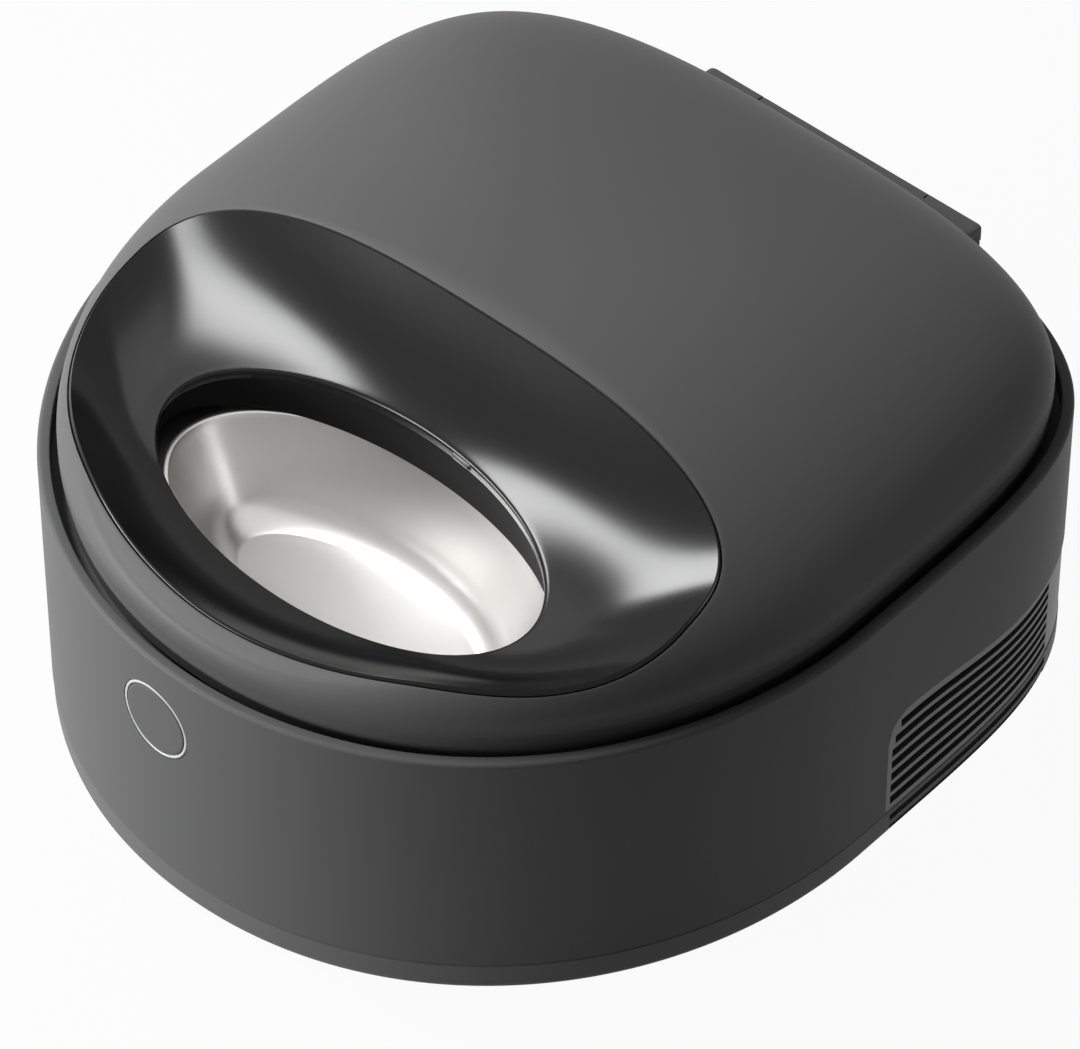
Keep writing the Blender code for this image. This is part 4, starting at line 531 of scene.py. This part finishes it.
def makeLid(p):
    angle = np.arctan2(lidY + funnel["forward"], lidX)
    inset, bottom, edge, soft = p["inset"], p["bottom"], p["edge"], p["soft"]
    loops = []
    for grow, drop in ((0, p["wall"]), (0, edge), (soft, soft), (edge, 0)):
        x, y = funnelEdge(angle, grow)
        loops.append(loopOf(x, y, lidHeight(x, y) - drop))
    startX, startY = funnelEdge(angle, edge)
    for k in range(1, p["rings"] + 1):
        share = 1 - (1 - k / p["rings"]) ** p["ringPull"]
        x, y = startX + (lidX - startX) * share, startY + (lidY - startY) * share
        loops.append(loopOf(x, y, lidHeight(x, y) if k < p["rings"] else p["shoulder"]))
    skirt, skirtBottom = inset + p["skirtInset"], bottom - p["skirtDrop"]
    for ringInset, height in ((inset, bottom + edge), (inset + soft, bottom + soft), (inset + edge, bottom),
                              (skirt, bottom), (skirt, skirtBottom), (skirt + p["skirtWall"], skirtBottom)):
        loops.append(planLoop(ringInset, height))
    innerX, innerY = planXY(skirt + p["skirtWall"])
    endX, endY = funnelEdge(angle, 0)
    for k in range(p["innerRings"]):
        share = 1 - (1 - k / p["innerRings"]) ** 0.5 if k else 0
        x, y = innerX + (endX - innerX) * share, innerY + (endY - innerY) * share
        loops.append(loopOf(x, y, np.maximum(lidHeight(x, y) - p["wall"], bottom + p["gap"])))
    finishPiece("lidShell", skin("lidShell", loops, closed=True), "charcoal_lid", "lid", ["lid_shell"], smooth=40)


makeLid(lid)
print("lid made")


# funnel: dished insert from the lid's surface down to the feeding opening
def funnelLoop(share, lower=0.0, grow=0.0, edgeGrow=None):
    turn = np.linspace(0, 2 * math.pi, 360, endpoint=False)
    rear = np.sin(turn) > 0
    power = np.where(rear, funnel["rearPower"], funnel["frontPower"])
    out = (grow if edgeGrow is None else edgeGrow) - lid["gap"]
    depth = np.where(rear, funnel["rearDepth"], funnel["frontDepth"]) + out
    x0 = (funnel["halfWidth"] + out) * np.sign(np.cos(turn)) * np.abs(np.cos(turn)) ** (2 / power)
    y0 = depth * np.sign(np.sin(turn)) * np.abs(np.sin(turn)) ** (2 / power) - funnel["forward"]
    x1 = (funnel["openingWidth"] + grow) * np.cos(turn)
    y1 = (funnel["openingDepth"] + grow) * np.sin(turn) - funnel["openingForward"]
    z0, z1 = lidHeight(x0, y0), openingHeight(y1)
    sag = funnel["dish"] * math.sin(math.pi * share)
    return loopOf(x0 + (x1 - x0) * share, y0 + (y1 - y0) * share, z0 + (z1 - z0) * share - sag - lower)


def openingHeight(y):
    return funnel["openingHeight"] + funnel["openingSlope"] * (y + funnel["openingForward"])


def makeFunnel(p):
    chamfer, lip, wall, under = p["chamfer"], p["lip"], p["wall"], p["underRings"]
    loops = [funnelLoop(0, p["edge"], -wall, -wall), funnelLoop(0, p["edge"], 0), funnelLoop(0, chamfer, 0)]
    loops += [funnelLoop(0, chamfer * 0.3, 0, -chamfer * 0.3), funnelLoop(0, 0, 0, -chamfer)]
    loops += [funnelLoop(p["bendStart"] * k / p["rings"], 0, 0, -chamfer) for k in range(1, p["rings"])]
    # the dish bends smoothly down into the lip
    bend = [np.array(funnelLoop(*spot, 0, -chamfer)) for spot in ((p["bendStart"], 0), (1, 0), (1, p["bendDepth"]))]
    for t in np.linspace(0, 1, 9):
        curve = (1 - t) ** 2 * bend[0] + 2 * t * (1 - t) * bend[1] + t * t * bend[2]
        loops.append([tuple(point) for point in curve])
    loops += [funnelLoop(1, lip - p["lipEdge"], 0, 0), funnelLoop(1, lip, p["lipEdge"], 0),
              funnelLoop(1, lip, wall, 0), funnelLoop(1, wall, wall, 0)]
    loops += [funnelLoop(1 - k / under, wall, wall, -chamfer) for k in range(1, under)]
    loops += [funnelLoop(0, wall, -wall, -wall)]
    mesh = skin("funnelBezel", loops, closed=True)
    finishPiece("funnelBezel", mesh, "satin_black", "lid", ["funnel_bezel"], smooth=50)


makeFunnel(funnel)
print("funnel made")

# hinge tail: the flap behind the lid that wraps over the hinge, with rounded ends
hinge = {
    "y": 166.7 * mm, "z": 107.2 * mm, "half": 62 * mm, "reach": 6.67 * mm, "top": 9.0 * mm, "corner": 1.5 * mm,
    "inner": 6.1 * mm, "rise": 1.5 * mm, "waist": 0.4, "waistRadius": 7.7 * mm, "barrel": 6.6 * mm,
    "knuckleHalf": 38 * mm, "slit": 0.7 * mm, "slitDepth": 3.6 * mm, "slitDrop": 3 * mm, "endRound": 2.2 * mm,
    "endReach": 12 * mm, "endSteps": 7, "overlap": 1.2 * mm, "lipAngle": 24, "bendSteps": 14, "cornerSteps": 8,
    "stepBack": 0.9 * mm, "stepDrop": 0.8 * mm, "cutBack": 12 * mm, "cutTop": 14 * mm, "gap": 0.3 * mm,
    "barrelInset": 0.6 * mm,
}


def tailSection(h):
    edge = outline["rearDepth"] - lid["inset"] - h["y"]
    shoulder, low = lid["shoulder"] - h["z"], lid["bottom"] - h["z"] + h["gap"]
    top = shoulder + h["rise"]
    waist = (edge / 2, h["waistRadius"] + (top - h["waistRadius"]) * h["waist"])
    points = [(edge - h["overlap"], low), (edge - h["overlap"], shoulder)]
    flat = (0.0, h["top"] + h["corner"] / 3)
    for k in range(h["bendSteps"] + 1):
        t = k / h["bendSteps"]
        sides = zip((edge, top), waist, flat)
        points.append(tuple((1 - t) ** 2 * a + 2 * t * (1 - t) * b + t * t * c for a, b, c in sides))
    for k in range(h["cornerSteps"] + 1):
        angle = math.pi / 2 * k / h["cornerSteps"]
        points.append((h["reach"] - h["corner"] * (1 - math.sin(angle)),
                       h["top"] - h["corner"] * (1 - math.cos(angle))))
    start = math.radians(h["lipAngle"])
    points.append((h["reach"], h["inner"] * math.sin(start)))
    for k in range(h["bendSteps"] + 1):
        angle = start + (math.pi / 2 - start) * k / h["bendSteps"]
        points.append((h["inner"] * math.cos(angle), h["inner"] * math.sin(angle)))
    points.append((edge / 2, low))
    return points


def makeTail(h):
    section, inner, steps = tailSection(h), h["inner"], h["endSteps"]
    loops = []
    for side in (-1, 1):
        ends = []
        for k in range(steps + 1):
            angle = math.pi / 2 * k / steps
            inset, pull = h["endRound"] * (1 - math.sin(angle)), h["endRound"] * (1 - math.cos(angle))
            x = side * (h["half"] - inset if k < steps else h["half"])
            squeeze = pull / h["endReach"]
            ends.append([(x, h["y"] + y - y * squeeze * (y > 0), h["z"] + z + (inner - z) * squeeze * (z > inner))
                         for y, z in section])
        loops += ends[::-1] if side < 0 else ends
    tail = skin("hingeTail", loops)
    knuckle, rear, top = h["knuckleHalf"], h["y"] + h["reach"], h["z"] + h["top"]
    cutBack, cutTop = h["y"] + h["cutBack"], h["z"] + h["cutTop"]
    cuts = [roundedBox("slit", (s * knuckle - h["slit"] / 2, rear - h["slitDepth"], top - h["slitDrop"]),
                       (s * knuckle + h["slit"] / 2, cutBack, cutTop), 0.1 * mm, 1) for s in (-1, 1)]
    cuts.append(roundedBox("step", (-knuckle, rear - h["stepBack"], top - h["stepDrop"]),
                           (knuckle, cutBack, cutTop), 0.1 * mm, 1))
    finishPiece("hingeTail", combined(tail, cuts, "DIFFERENCE"), "charcoal_lid", "lid", smooth=40)
    for side in (-1, 1):
        ends = sorted((side * (knuckle + h["gap"]), side * (h["half"] - h["barrelInset"])))
        mesh = barMesh("barrel", *[(x, h["y"], h["z"]) for x in ends], h["barrel"] - h["barrelInset"], 64)
        finishPiece("hingeBarrelRight" if side > 0 else "hingeBarrelLeft", mesh, "charcoal_lid", "lid")


makeTail(hinge)
print("hinge made")

# bowls: pressed oval bowls with a rolled rim and a soft floor
bowl = {
    "halfLength": 77 * mm, "halfBreadth": 42 * mm, "flange": 1.6 * mm, "depth": 37 * mm, "wall": 0.9 * mm,
    "floorShares": (0.74, 0.64), "orbit": 91 * mm, "rim": 112.5 * mm, "floorRound": 11 * mm,
    "roll": 0.45 * mm, "rollTurns": (0.6, 1.2, 1.8, 2.4, 3.0), "wallShare": 0.36, "wallRings": 10, "floorRings": 11,
}
carouselAxis = Matrix.Translation((0, shell["carouselBack"], 0))


# share is 1 at the rim and 0 at the edge of the floor
def bowlLoop(b, share, grow, height):
    turn = np.linspace(0, 2 * math.pi, 160, endpoint=False)
    floorLength, floorBreadth = b["halfLength"] * b["floorShares"][0], b["halfBreadth"] * b["floorShares"][1]
    length = floorLength + (b["halfLength"] - floorLength) * share + grow
    breadth = floorBreadth + (b["halfBreadth"] - floorBreadth) * share + grow
    return loopOf(length * np.cos(turn), breadth * np.sin(turn), height)


def onTray(quarter, b):
    return Matrix.Rotation(math.radians(90 * quarter), 4, "Z") @ Matrix.Translation((0, -b["orbit"], 0))


def makeBowl(name, quarter, nodeName, b):
    rim, wall, flange, roll, curve = b["rim"], b["wall"], b["flange"], b["roll"], b["floorRound"]
    floor, rings, floorRings = rim - b["depth"], b["wallRings"], b["floorRings"]
    outer = [bowlLoop(b, -0.20, 0, floor - wall), bowlLoop(b, 0.0, 0, floor - wall * 0.3),
             bowlLoop(b, 0.22, 0, floor + curve * 0.45), bowlLoop(b, b["wallShare"], 0, floor + curve),
             bowlLoop(b, 1.0, 0, rim), bowlLoop(b, 1.0, flange - 0.3 * mm, rim)]
    edge = [bowlLoop(b, 1.0, flange - roll + roll * math.sin(a), rim + roll - roll * math.cos(a))
            for a in b["rollTurns"]]
    top = [bowlLoop(b, 1.0, flange * 0.35, rim + wall), bowlLoop(b, 1.0, -0.25 * mm, rim + wall * 0.96),
           bowlLoop(b, 1.0, -wall * 0.72, rim + wall * 0.72), bowlLoop(b, 1.0, -wall * 1.05, rim + wall * 0.2)]
    inner = [bowlLoop(b, 1 - 0.64 * k / rings, -wall, rim - (b["depth"] - curve) * k / rings)
             for k in range(1, rings)]
    for k in range(floorRings + 1):
        a = math.pi / 2 * k / floorRings
        inner.append(bowlLoop(b, b["wallShare"] - 0.50 * math.sin(a) ** 1.6 - 0.10 * (k / floorRings), -wall,
                              floor + curve * (1 - math.sin(a)) ** 1.25))
    mesh = skin(name, outer + edge + top + inner)
    mesh.transform(carouselAxis @ onTray(quarter, b))
    finishPiece(name, mesh, "stainless", "carousel", [nodeName], smooth=60)


for name, quarter in (("front", 0), ("right", 1), ("left", -1)):
    makeBowl(name + "Bowl", quarter, "food_bowl_" + name, bowl)
print("bowls made")

# tray, tub, gasket and liner, all turned about the carousel's axis
tray = {
    "top": 112.2 * mm, "thickness": 2 * mm, "radius": 136.2 * mm, "skirt": 6 * mm, "dishRadius": 40 * mm,
    "dishDepth": 15 * mm, "gripLength": 62 * mm, "gripWidth": 13 * mm, "gripDepth": 6 * mm, "edge": 0.5 * mm,
    "hub": 0.2 * mm, "holeGap": 0.6 * mm, "gripGap": 0.3 * mm, "gripRound": 1.6 * mm, "legRound": 0.8 * mm,
    "legDrop": 2.5 * mm,
}
tub = {
    "radius": 138.5 * mm, "wall": 2 * mm, "rim": 112.8 * mm, "floor": 66 * mm, "hole": 10 * mm, "edge": 0.3 * mm,
    "insideRound": 4 * mm, "outsideBevel": 6 * mm, "sealLow": 0.3 * mm, "sealTop": 1.8 * mm, "sealTaper": 0.75,
}
liner = {
    "radius": 142.5 * mm, "low": 114.9 * mm, "wall": 1.3 * mm, "collar": 2.4 * mm, "rise": 0.2 * mm,
    "gap": 0.3 * mm, "edge": 0.3 * mm, "collarEdge": 0.4 * mm,
}


def makeTray(t, b):
    top, wall, e, hub, r, d = t["top"], t["thickness"], t["edge"], t["hub"], t["radius"], t["dishRadius"]
    under, dish, low = top - wall, top - t["dishDepth"], top - t["skirt"]
    profile = [(hub, dish), (d - 3 * mm, dish), (d - 1 * mm, dish + 0.7 * mm), (d, dish + 3 * mm),
               (d, top - 1.2 * mm), (d + 0.4 * mm, top - 0.3 * mm), (d + 1.2 * mm, top),
               (r - e, top), (r - 0.15 * mm, top - 0.15 * mm), (r, top - e), (r, low), (r - wall, low),
               (r - wall, under), (d + wall, under), (d + wall, dish), (d, dish - wall), (hub, dish - wall)]
    body = turnedMesh("carouselTray", profile, 180, closed=False)
    holes = []
    for quarter in (-1, 0, 1):
        hole = skin("hole", [bowlLoop(b, 1, t["holeGap"], z) for z in (under - overrun, top + overrun)])
        hole.transform(onTray(quarter, b))
        holes.append(hole)
    body = combined(body, holes, "DIFFERENCE")
    body.transform(carouselAxis)
    finishPiece("carouselTray", body, "inner_plastic", "carousel", ["carousel_tray"], smooth=35)
    half, side, deep, gripTop = t["gripLength"] / 2, t["gripWidth"] / 2, t["gripDepth"], top - t["gripGap"]
    bar = roundedBox("trayGrip", (-half, -side, gripTop - deep), (half, side, gripTop), t["gripRound"], 5)
    legs = [roundedBox("leg", (start, -side, dish + t["gripGap"]), (start + deep, side, gripTop - t["legDrop"]),
                       t["legRound"], 3) for start in (-half, half - deep)]
    bar = combined(bar, legs, "UNION")
    bar.transform(carouselAxis)
    finishPiece("trayGrip", bar, "black_plastic", "carousel", ["tray_grip"], smooth=45)


def makeTub(t):
    r, w, rim, floor = t["radius"], t["wall"], t["rim"], t["floor"]
    inside, outside, e = t["insideRound"], t["outsideBevel"], t["edge"]
    profile = [(t["hole"], floor + w), (t["hole"], floor), (r + w - outside, floor), (r + w, floor + outside),
               (r + w, rim - e), (r + w - e, rim), (r + e, rim), (r, rim - e)]
    profile += [(r - inside * (1 - math.cos(a)), floor + w + inside * (1 - math.sin(a)))
                for a in (0, 0.4, 0.8, 1.2, 1.57)]
    mesh = turnedMesh("coldTub", profile, 180)
    mesh.transform(carouselAxis)
    finishPiece("coldTub", mesh, "inner_plastic", "base", ["cold_tub"])
    base, top = rim + t["sealLow"], rim + t["sealTop"]
    middle, half = r + w / 2, w / 2
    seal = [(middle + half * math.cos(a) * (t["sealTaper"] if math.sin(a) > 0 else 1),
             (base + top) / 2 + (top - base) / 2 * math.sin(a))
            for a in np.linspace(0, 2 * math.pi, 16, endpoint=False)]
    mesh = turnedMesh("lidGasket", seal, 180)
    mesh.transform(carouselAxis)
    finishPiece("lidGasket", mesh, "rubber", "base", ["lid_gasket"], smooth=60)


def makeLiner(p):
    turn = np.linspace(0, 2 * math.pi, 240, endpoint=False)
    low, high = p["low"], p["low"] + p["wall"]

    def rim(radius, z):
        return loopOf(radius * np.cos(turn), shell["carouselBack"] + radius * np.sin(turn), z)

    def collar(grow, z):
        y = (funnel["openingDepth"] + grow) * np.sin(turn) - funnel["openingForward"]
        height = np.maximum(openingHeight(y) - funnel["lip"] - p["gap"], high + p["rise"]) if z is None else z
        return loopOf((funnel["openingWidth"] + grow) * np.cos(turn), y, height)

    r, c, w, e, bend = p["radius"], p["collar"], p["wall"], p["edge"], p["collarEdge"]
    loops = [rim(r - e, low), collar(c + bend, low), collar(c, low + bend), collar(c, None), collar(c + w, None),
             collar(c + w, high), rim(r - e, high), rim(r, high - e), rim(r, low + e)]
    # the liner takes the darkened material, painted shade inside the opening, in place of plain black plastic
    finishPiece("lidLiner", skin("lidLiner", loops, closed=True), "black_plastic", "lid", ["lid_liner"], smooth=30,
                material=linerBlackWithPaintedShade)


makeTray(tray, bowl)
makeTub(tub)
makeLiner(liner)
print("tray, tub and liner made")

# front button: a flush cap in a thin frosted ring, both bent to the wall
button = {
    "left": 12 * mm, "height": 84.3 * mm, "ring": 15.2 * mm, "ringWall": 1.1 * mm, "gap": 0.3 * mm,
    "capDepth": 3.6 * mm, "edge": 0.35 * mm, "ringBack": -154 * mm, "stem": 2.6 * mm, "dish": 0.25 * mm,
    "capRings": (0.04, 0.3, 0.55, 0.75, 0.9),
}


# a ring that follows the wall at a depth behind it, or a flat one
def frontDisc(b, radius, depth, flat=None):
    turn = np.linspace(0, 2 * math.pi, 96, endpoint=False)
    x = radius * np.cos(turn) - b["left"]
    y = wallFront(x) + depth if flat is None else np.full(x.shape, flat)
    return loopOf(x, y, b["height"] + radius * np.sin(turn))


def makeButton(b):
    ring, inner, e = b["ring"], b["ring"] - b["ringWall"], b["edge"]
    loops = [frontDisc(b, ring, e), frontDisc(b, ring - e * 0.3, e * 0.25), frontDisc(b, ring - e, 0),
             frontDisc(b, inner + e, 0), frontDisc(b, inner + e * 0.3, e * 0.25), frontDisc(b, inner, e),
             frontDisc(b, inner, 0, b["ringBack"]), frontDisc(b, ring, 0, b["ringBack"])]
    finishPiece("lightRing", skin("lightRing", loops, closed=True), "light_guide", "base", ["light_ring"], smooth=50)
    cap = inner - b["gap"]
    loops = [frontDisc(b, cap * s, b["dish"] * (1 - s * s)) for s in b["capRings"]]
    loops += [frontDisc(b, cap - e, 0), frontDisc(b, cap - e * 0.3, e * 0.3), frontDisc(b, cap, e),
              frontDisc(b, cap, b["capDepth"]), frontDisc(b, b["stem"], b["capDepth"])]
    low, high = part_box("front_button")
    loops.append(frontDisc(b, b["stem"], 0, high.y - centreY))
    finishPiece("frontButton", skin("frontButton", loops), "charcoal_shell", "button", ["front_button"], smooth=50)


makeButton(button)
print("button made")

# sensor window: a small glossy pill in a black frame on the lip
sensor = {
    "width": 9 * mm, "height": 2.6 * mm, "angle": 77, "proud": 0.9 * mm, "frameProud": 0.5 * mm,
    "back": 1.2 * mm, "border": 0.35 * mm, "roundShare": 0.45,
}


def makeSensor(s):
    angle = math.radians(s["angle"])
    x, y = funnel["openingWidth"] * math.cos(angle), funnel["openingDepth"] * math.sin(angle)
    normal = Vector((x / funnel["openingWidth"] ** 2, y / funnel["openingDepth"] ** 2, 0)).normalized()
    y -= funnel["openingForward"]
    spot = Vector((x, y, openingHeight(y) - funnel["lip"] / 2))
    side = normal.cross(Vector((0, 0, 1))).normalized()
    place = Matrix.Translation(spot) @ Matrix((side, normal, Vector((0, 0, 1)))).transposed().to_4x4()
    w, h = s["width"] / 2, s["height"] / 2
    pill = ("sensorWindow", s["border"], -s["proud"], "satin_black", ["sensor_window"])
    border = ("sensorFrame", 0, -s["frameProud"], "black_plastic", [])
    for name, less, front, slotName, nodes in (pill, border):
        mesh = roundedBox(name, (less - w, front, less - h), (w - less, s["back"], h - less), h * s["roundShare"], 4)
        mesh.transform(place)
        finishPiece(name, mesh, slotName, "lid", nodes, smooth=60)


makeSensor(sensor)

# power inlet: turned socket with a centre pin
inlet = {
    "radius": 7 * mm, "flange": 1.6 * mm, "bore": 3.2 * mm, "pin": 1.0 * mm, "length": 15 * mm,
    "boreDepth": 12 * mm, "edge": 0.5 * mm, "gap": 0.3 * mm,
}


def makeInlet(p):
    low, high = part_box("power_inlet")
    place = Matrix.Translation(((low.x + high.x) / 2, high.y - p["flange"], (low.z + high.z) / 2))
    r, f, bore, pin = p["radius"], p["flange"], p["bore"], p["pin"]
    e, deep, gap = p["edge"], p["boreDepth"], p["gap"]
    profile = [(0.1 * mm, -p["length"]), (r, -p["length"]), (r, gap), (r + f, gap), (r + f, f - e),
               (r + f - e, f), (bore + e, f), (bore, f - e), (bore, -deep), (pin, -deep),
               (pin, -1.5 * mm), (pin * 0.5, -1 * mm), (0.05 * mm, -1 * mm)]
    mesh = turnedMesh("powerInlet", profile, 64, closed=False)
    mesh.transform(place @ Matrix.Rotation(math.radians(-90), 4, "X"))
    finishPiece("powerInlet", mesh, "black_plastic", "base", ["power_inlet"], shift=False)


makeInlet(inlet)
print("sensor and inlet made")

# small nodes keep their solids, with softened edges
small = {
    "edge": 0.25 * mm, "edgeAngle": 40, "smooth": 35,
    "nodes": ("hinge_bracket", "motor_bracket", "main_board", "button_board", "button_switch", "sensor_board",
              "heat_sink", "cold_plate", "cooling_tile", "fan_frame", "gear_motor", "spindle_bush"),
}
for name in small["nodes"]:
    softenEdges(frame["nodes"][name], small["edge"], small["edgeAngle"])
for node in frame["nodes"].values():
    node.data.shade_smooth()
    node.data.set_sharp_from_angle(angle=math.radians(small["smooth"]))
print("small pieces softened")

# studio: pale floor, white surroundings and soft lamps
studio = {
    "worldLevel": 0.04, "floorReach": 4.0, "floorDrop": 0.2 * mm, "floorTone": 0.34, "floorRoughness": 0.8,
    "floorShadow": 0.05, "facing": 41.8, "aimHeight": 0.08,
    "lamps": (  # each place as left to right, away from the viewer and up
        ("leftKey", (-1.78, -0.34, 0.29), (1.1, 0.42), 52),
        ("streakLamp", (-0.62, 0.12, 0.92), (0.38, 0.26), 15),
        ("topLamp", (-0.20, 0.55, 1.75), (0.8, 0.7), 5),
        ("rightLow", (1.55, -0.35, 0.35), (0.7, 0.5), 3),
    ),
}


# 1 for rays from the eye, mirrors or glass, so that floor and backdrop look pale yet light little
def seenDirectly(tree):
    light = tree.nodes.new("ShaderNodeLightPath")
    total = light.outputs["Is Camera Ray"]
    for ray in ("Is Glossy Ray", "Is Transmission Ray"):
        step = tree.nodes.new("ShaderNodeMath")
        step.operation = "MAXIMUM"
        tree.links.new(total, step.inputs[0])
        tree.links.new(light.outputs[ray], step.inputs[1])
        total = step.outputs["Value"]
    return total


def makeStudio(s):
    world = bpy.data.worlds.new("paleStudio")
    bpy.context.scene.world = world
    world.use_nodes = True
    tree = world.node_tree
    back = tree.nodes["Background"]
    seen = seenDirectly(tree)
    level = tree.nodes.new("ShaderNodeMapRange")
    level.inputs["To Min"].default_value = s["worldLevel"]
    level.inputs["To Max"].default_value = 1.0
    tree.links.new(seen, level.inputs["Value"])
    tree.links.new(level.outputs["Result"], back.inputs["Strength"])
    back.inputs["Color"].default_value = (1, 1, 1, 1)
    bm = bmesh.new()
    bmesh.ops.create_grid(bm, x_segments=8, y_segments=8, size=s["floorReach"])
    floor = bpy.data.objects.new("studioFloor", meshFrom(bm, "studioFloor"))
    floor.location.z = -s["floorDrop"]
    bpy.context.scene.collection.objects.link(floor)
    material = bpy.data.materials.new("studioFloor")
    material.use_nodes = True
    tree = material.node_tree
    shader = tree.nodes["Principled BSDF"]
    shader.inputs["Base Color"].default_value = (*[s["floorTone"]] * 3, 1)
    shader.inputs["Roughness"].default_value = s["floorRoughness"]
    glow = tree.nodes.new("ShaderNodeEmission")
    mix = tree.nodes.new("ShaderNodeMixShader")
    seen = seenDirectly(tree)
    share = tree.nodes.new("ShaderNodeMath")
    share.operation = "MULTIPLY"
    share.inputs[1].default_value = 1 - s["floorShadow"]
    tree.links.new(seen, share.inputs[0])
    tree.links.new(share.outputs["Value"], mix.inputs["Fac"])
    tree.links.new(shader.outputs["BSDF"], mix.inputs[1])
    tree.links.new(glow.outputs["Emission"], mix.inputs[2])
    tree.links.new(mix.outputs["Shader"], tree.nodes["Material Output"].inputs["Surface"])
    floor.data.materials.append(material)
    turn = Matrix.Rotation(math.radians(s["facing"]), 3, "Z")
    for name, place, size, power in s["lamps"]:
        spot = turn @ Vector(place)
        data = bpy.data.lights.new(name, "AREA")
        data.shape = "RECTANGLE"
        data.size, data.size_y = size
        data.energy = power
        lamp = bpy.data.objects.new(name, data)
        aim = Vector((0, 0, s["aimHeight"])) - spot
        lamp.matrix_world = Matrix.Translation(spot) @ aim.to_track_quat("-Z", "Y").to_matrix().to_4x4()
        bpy.context.scene.collection.objects.link(lamp)


makeStudio(studio)
bpy.context.scene.view_settings.view_transform = "Standard"
print("studio lit")
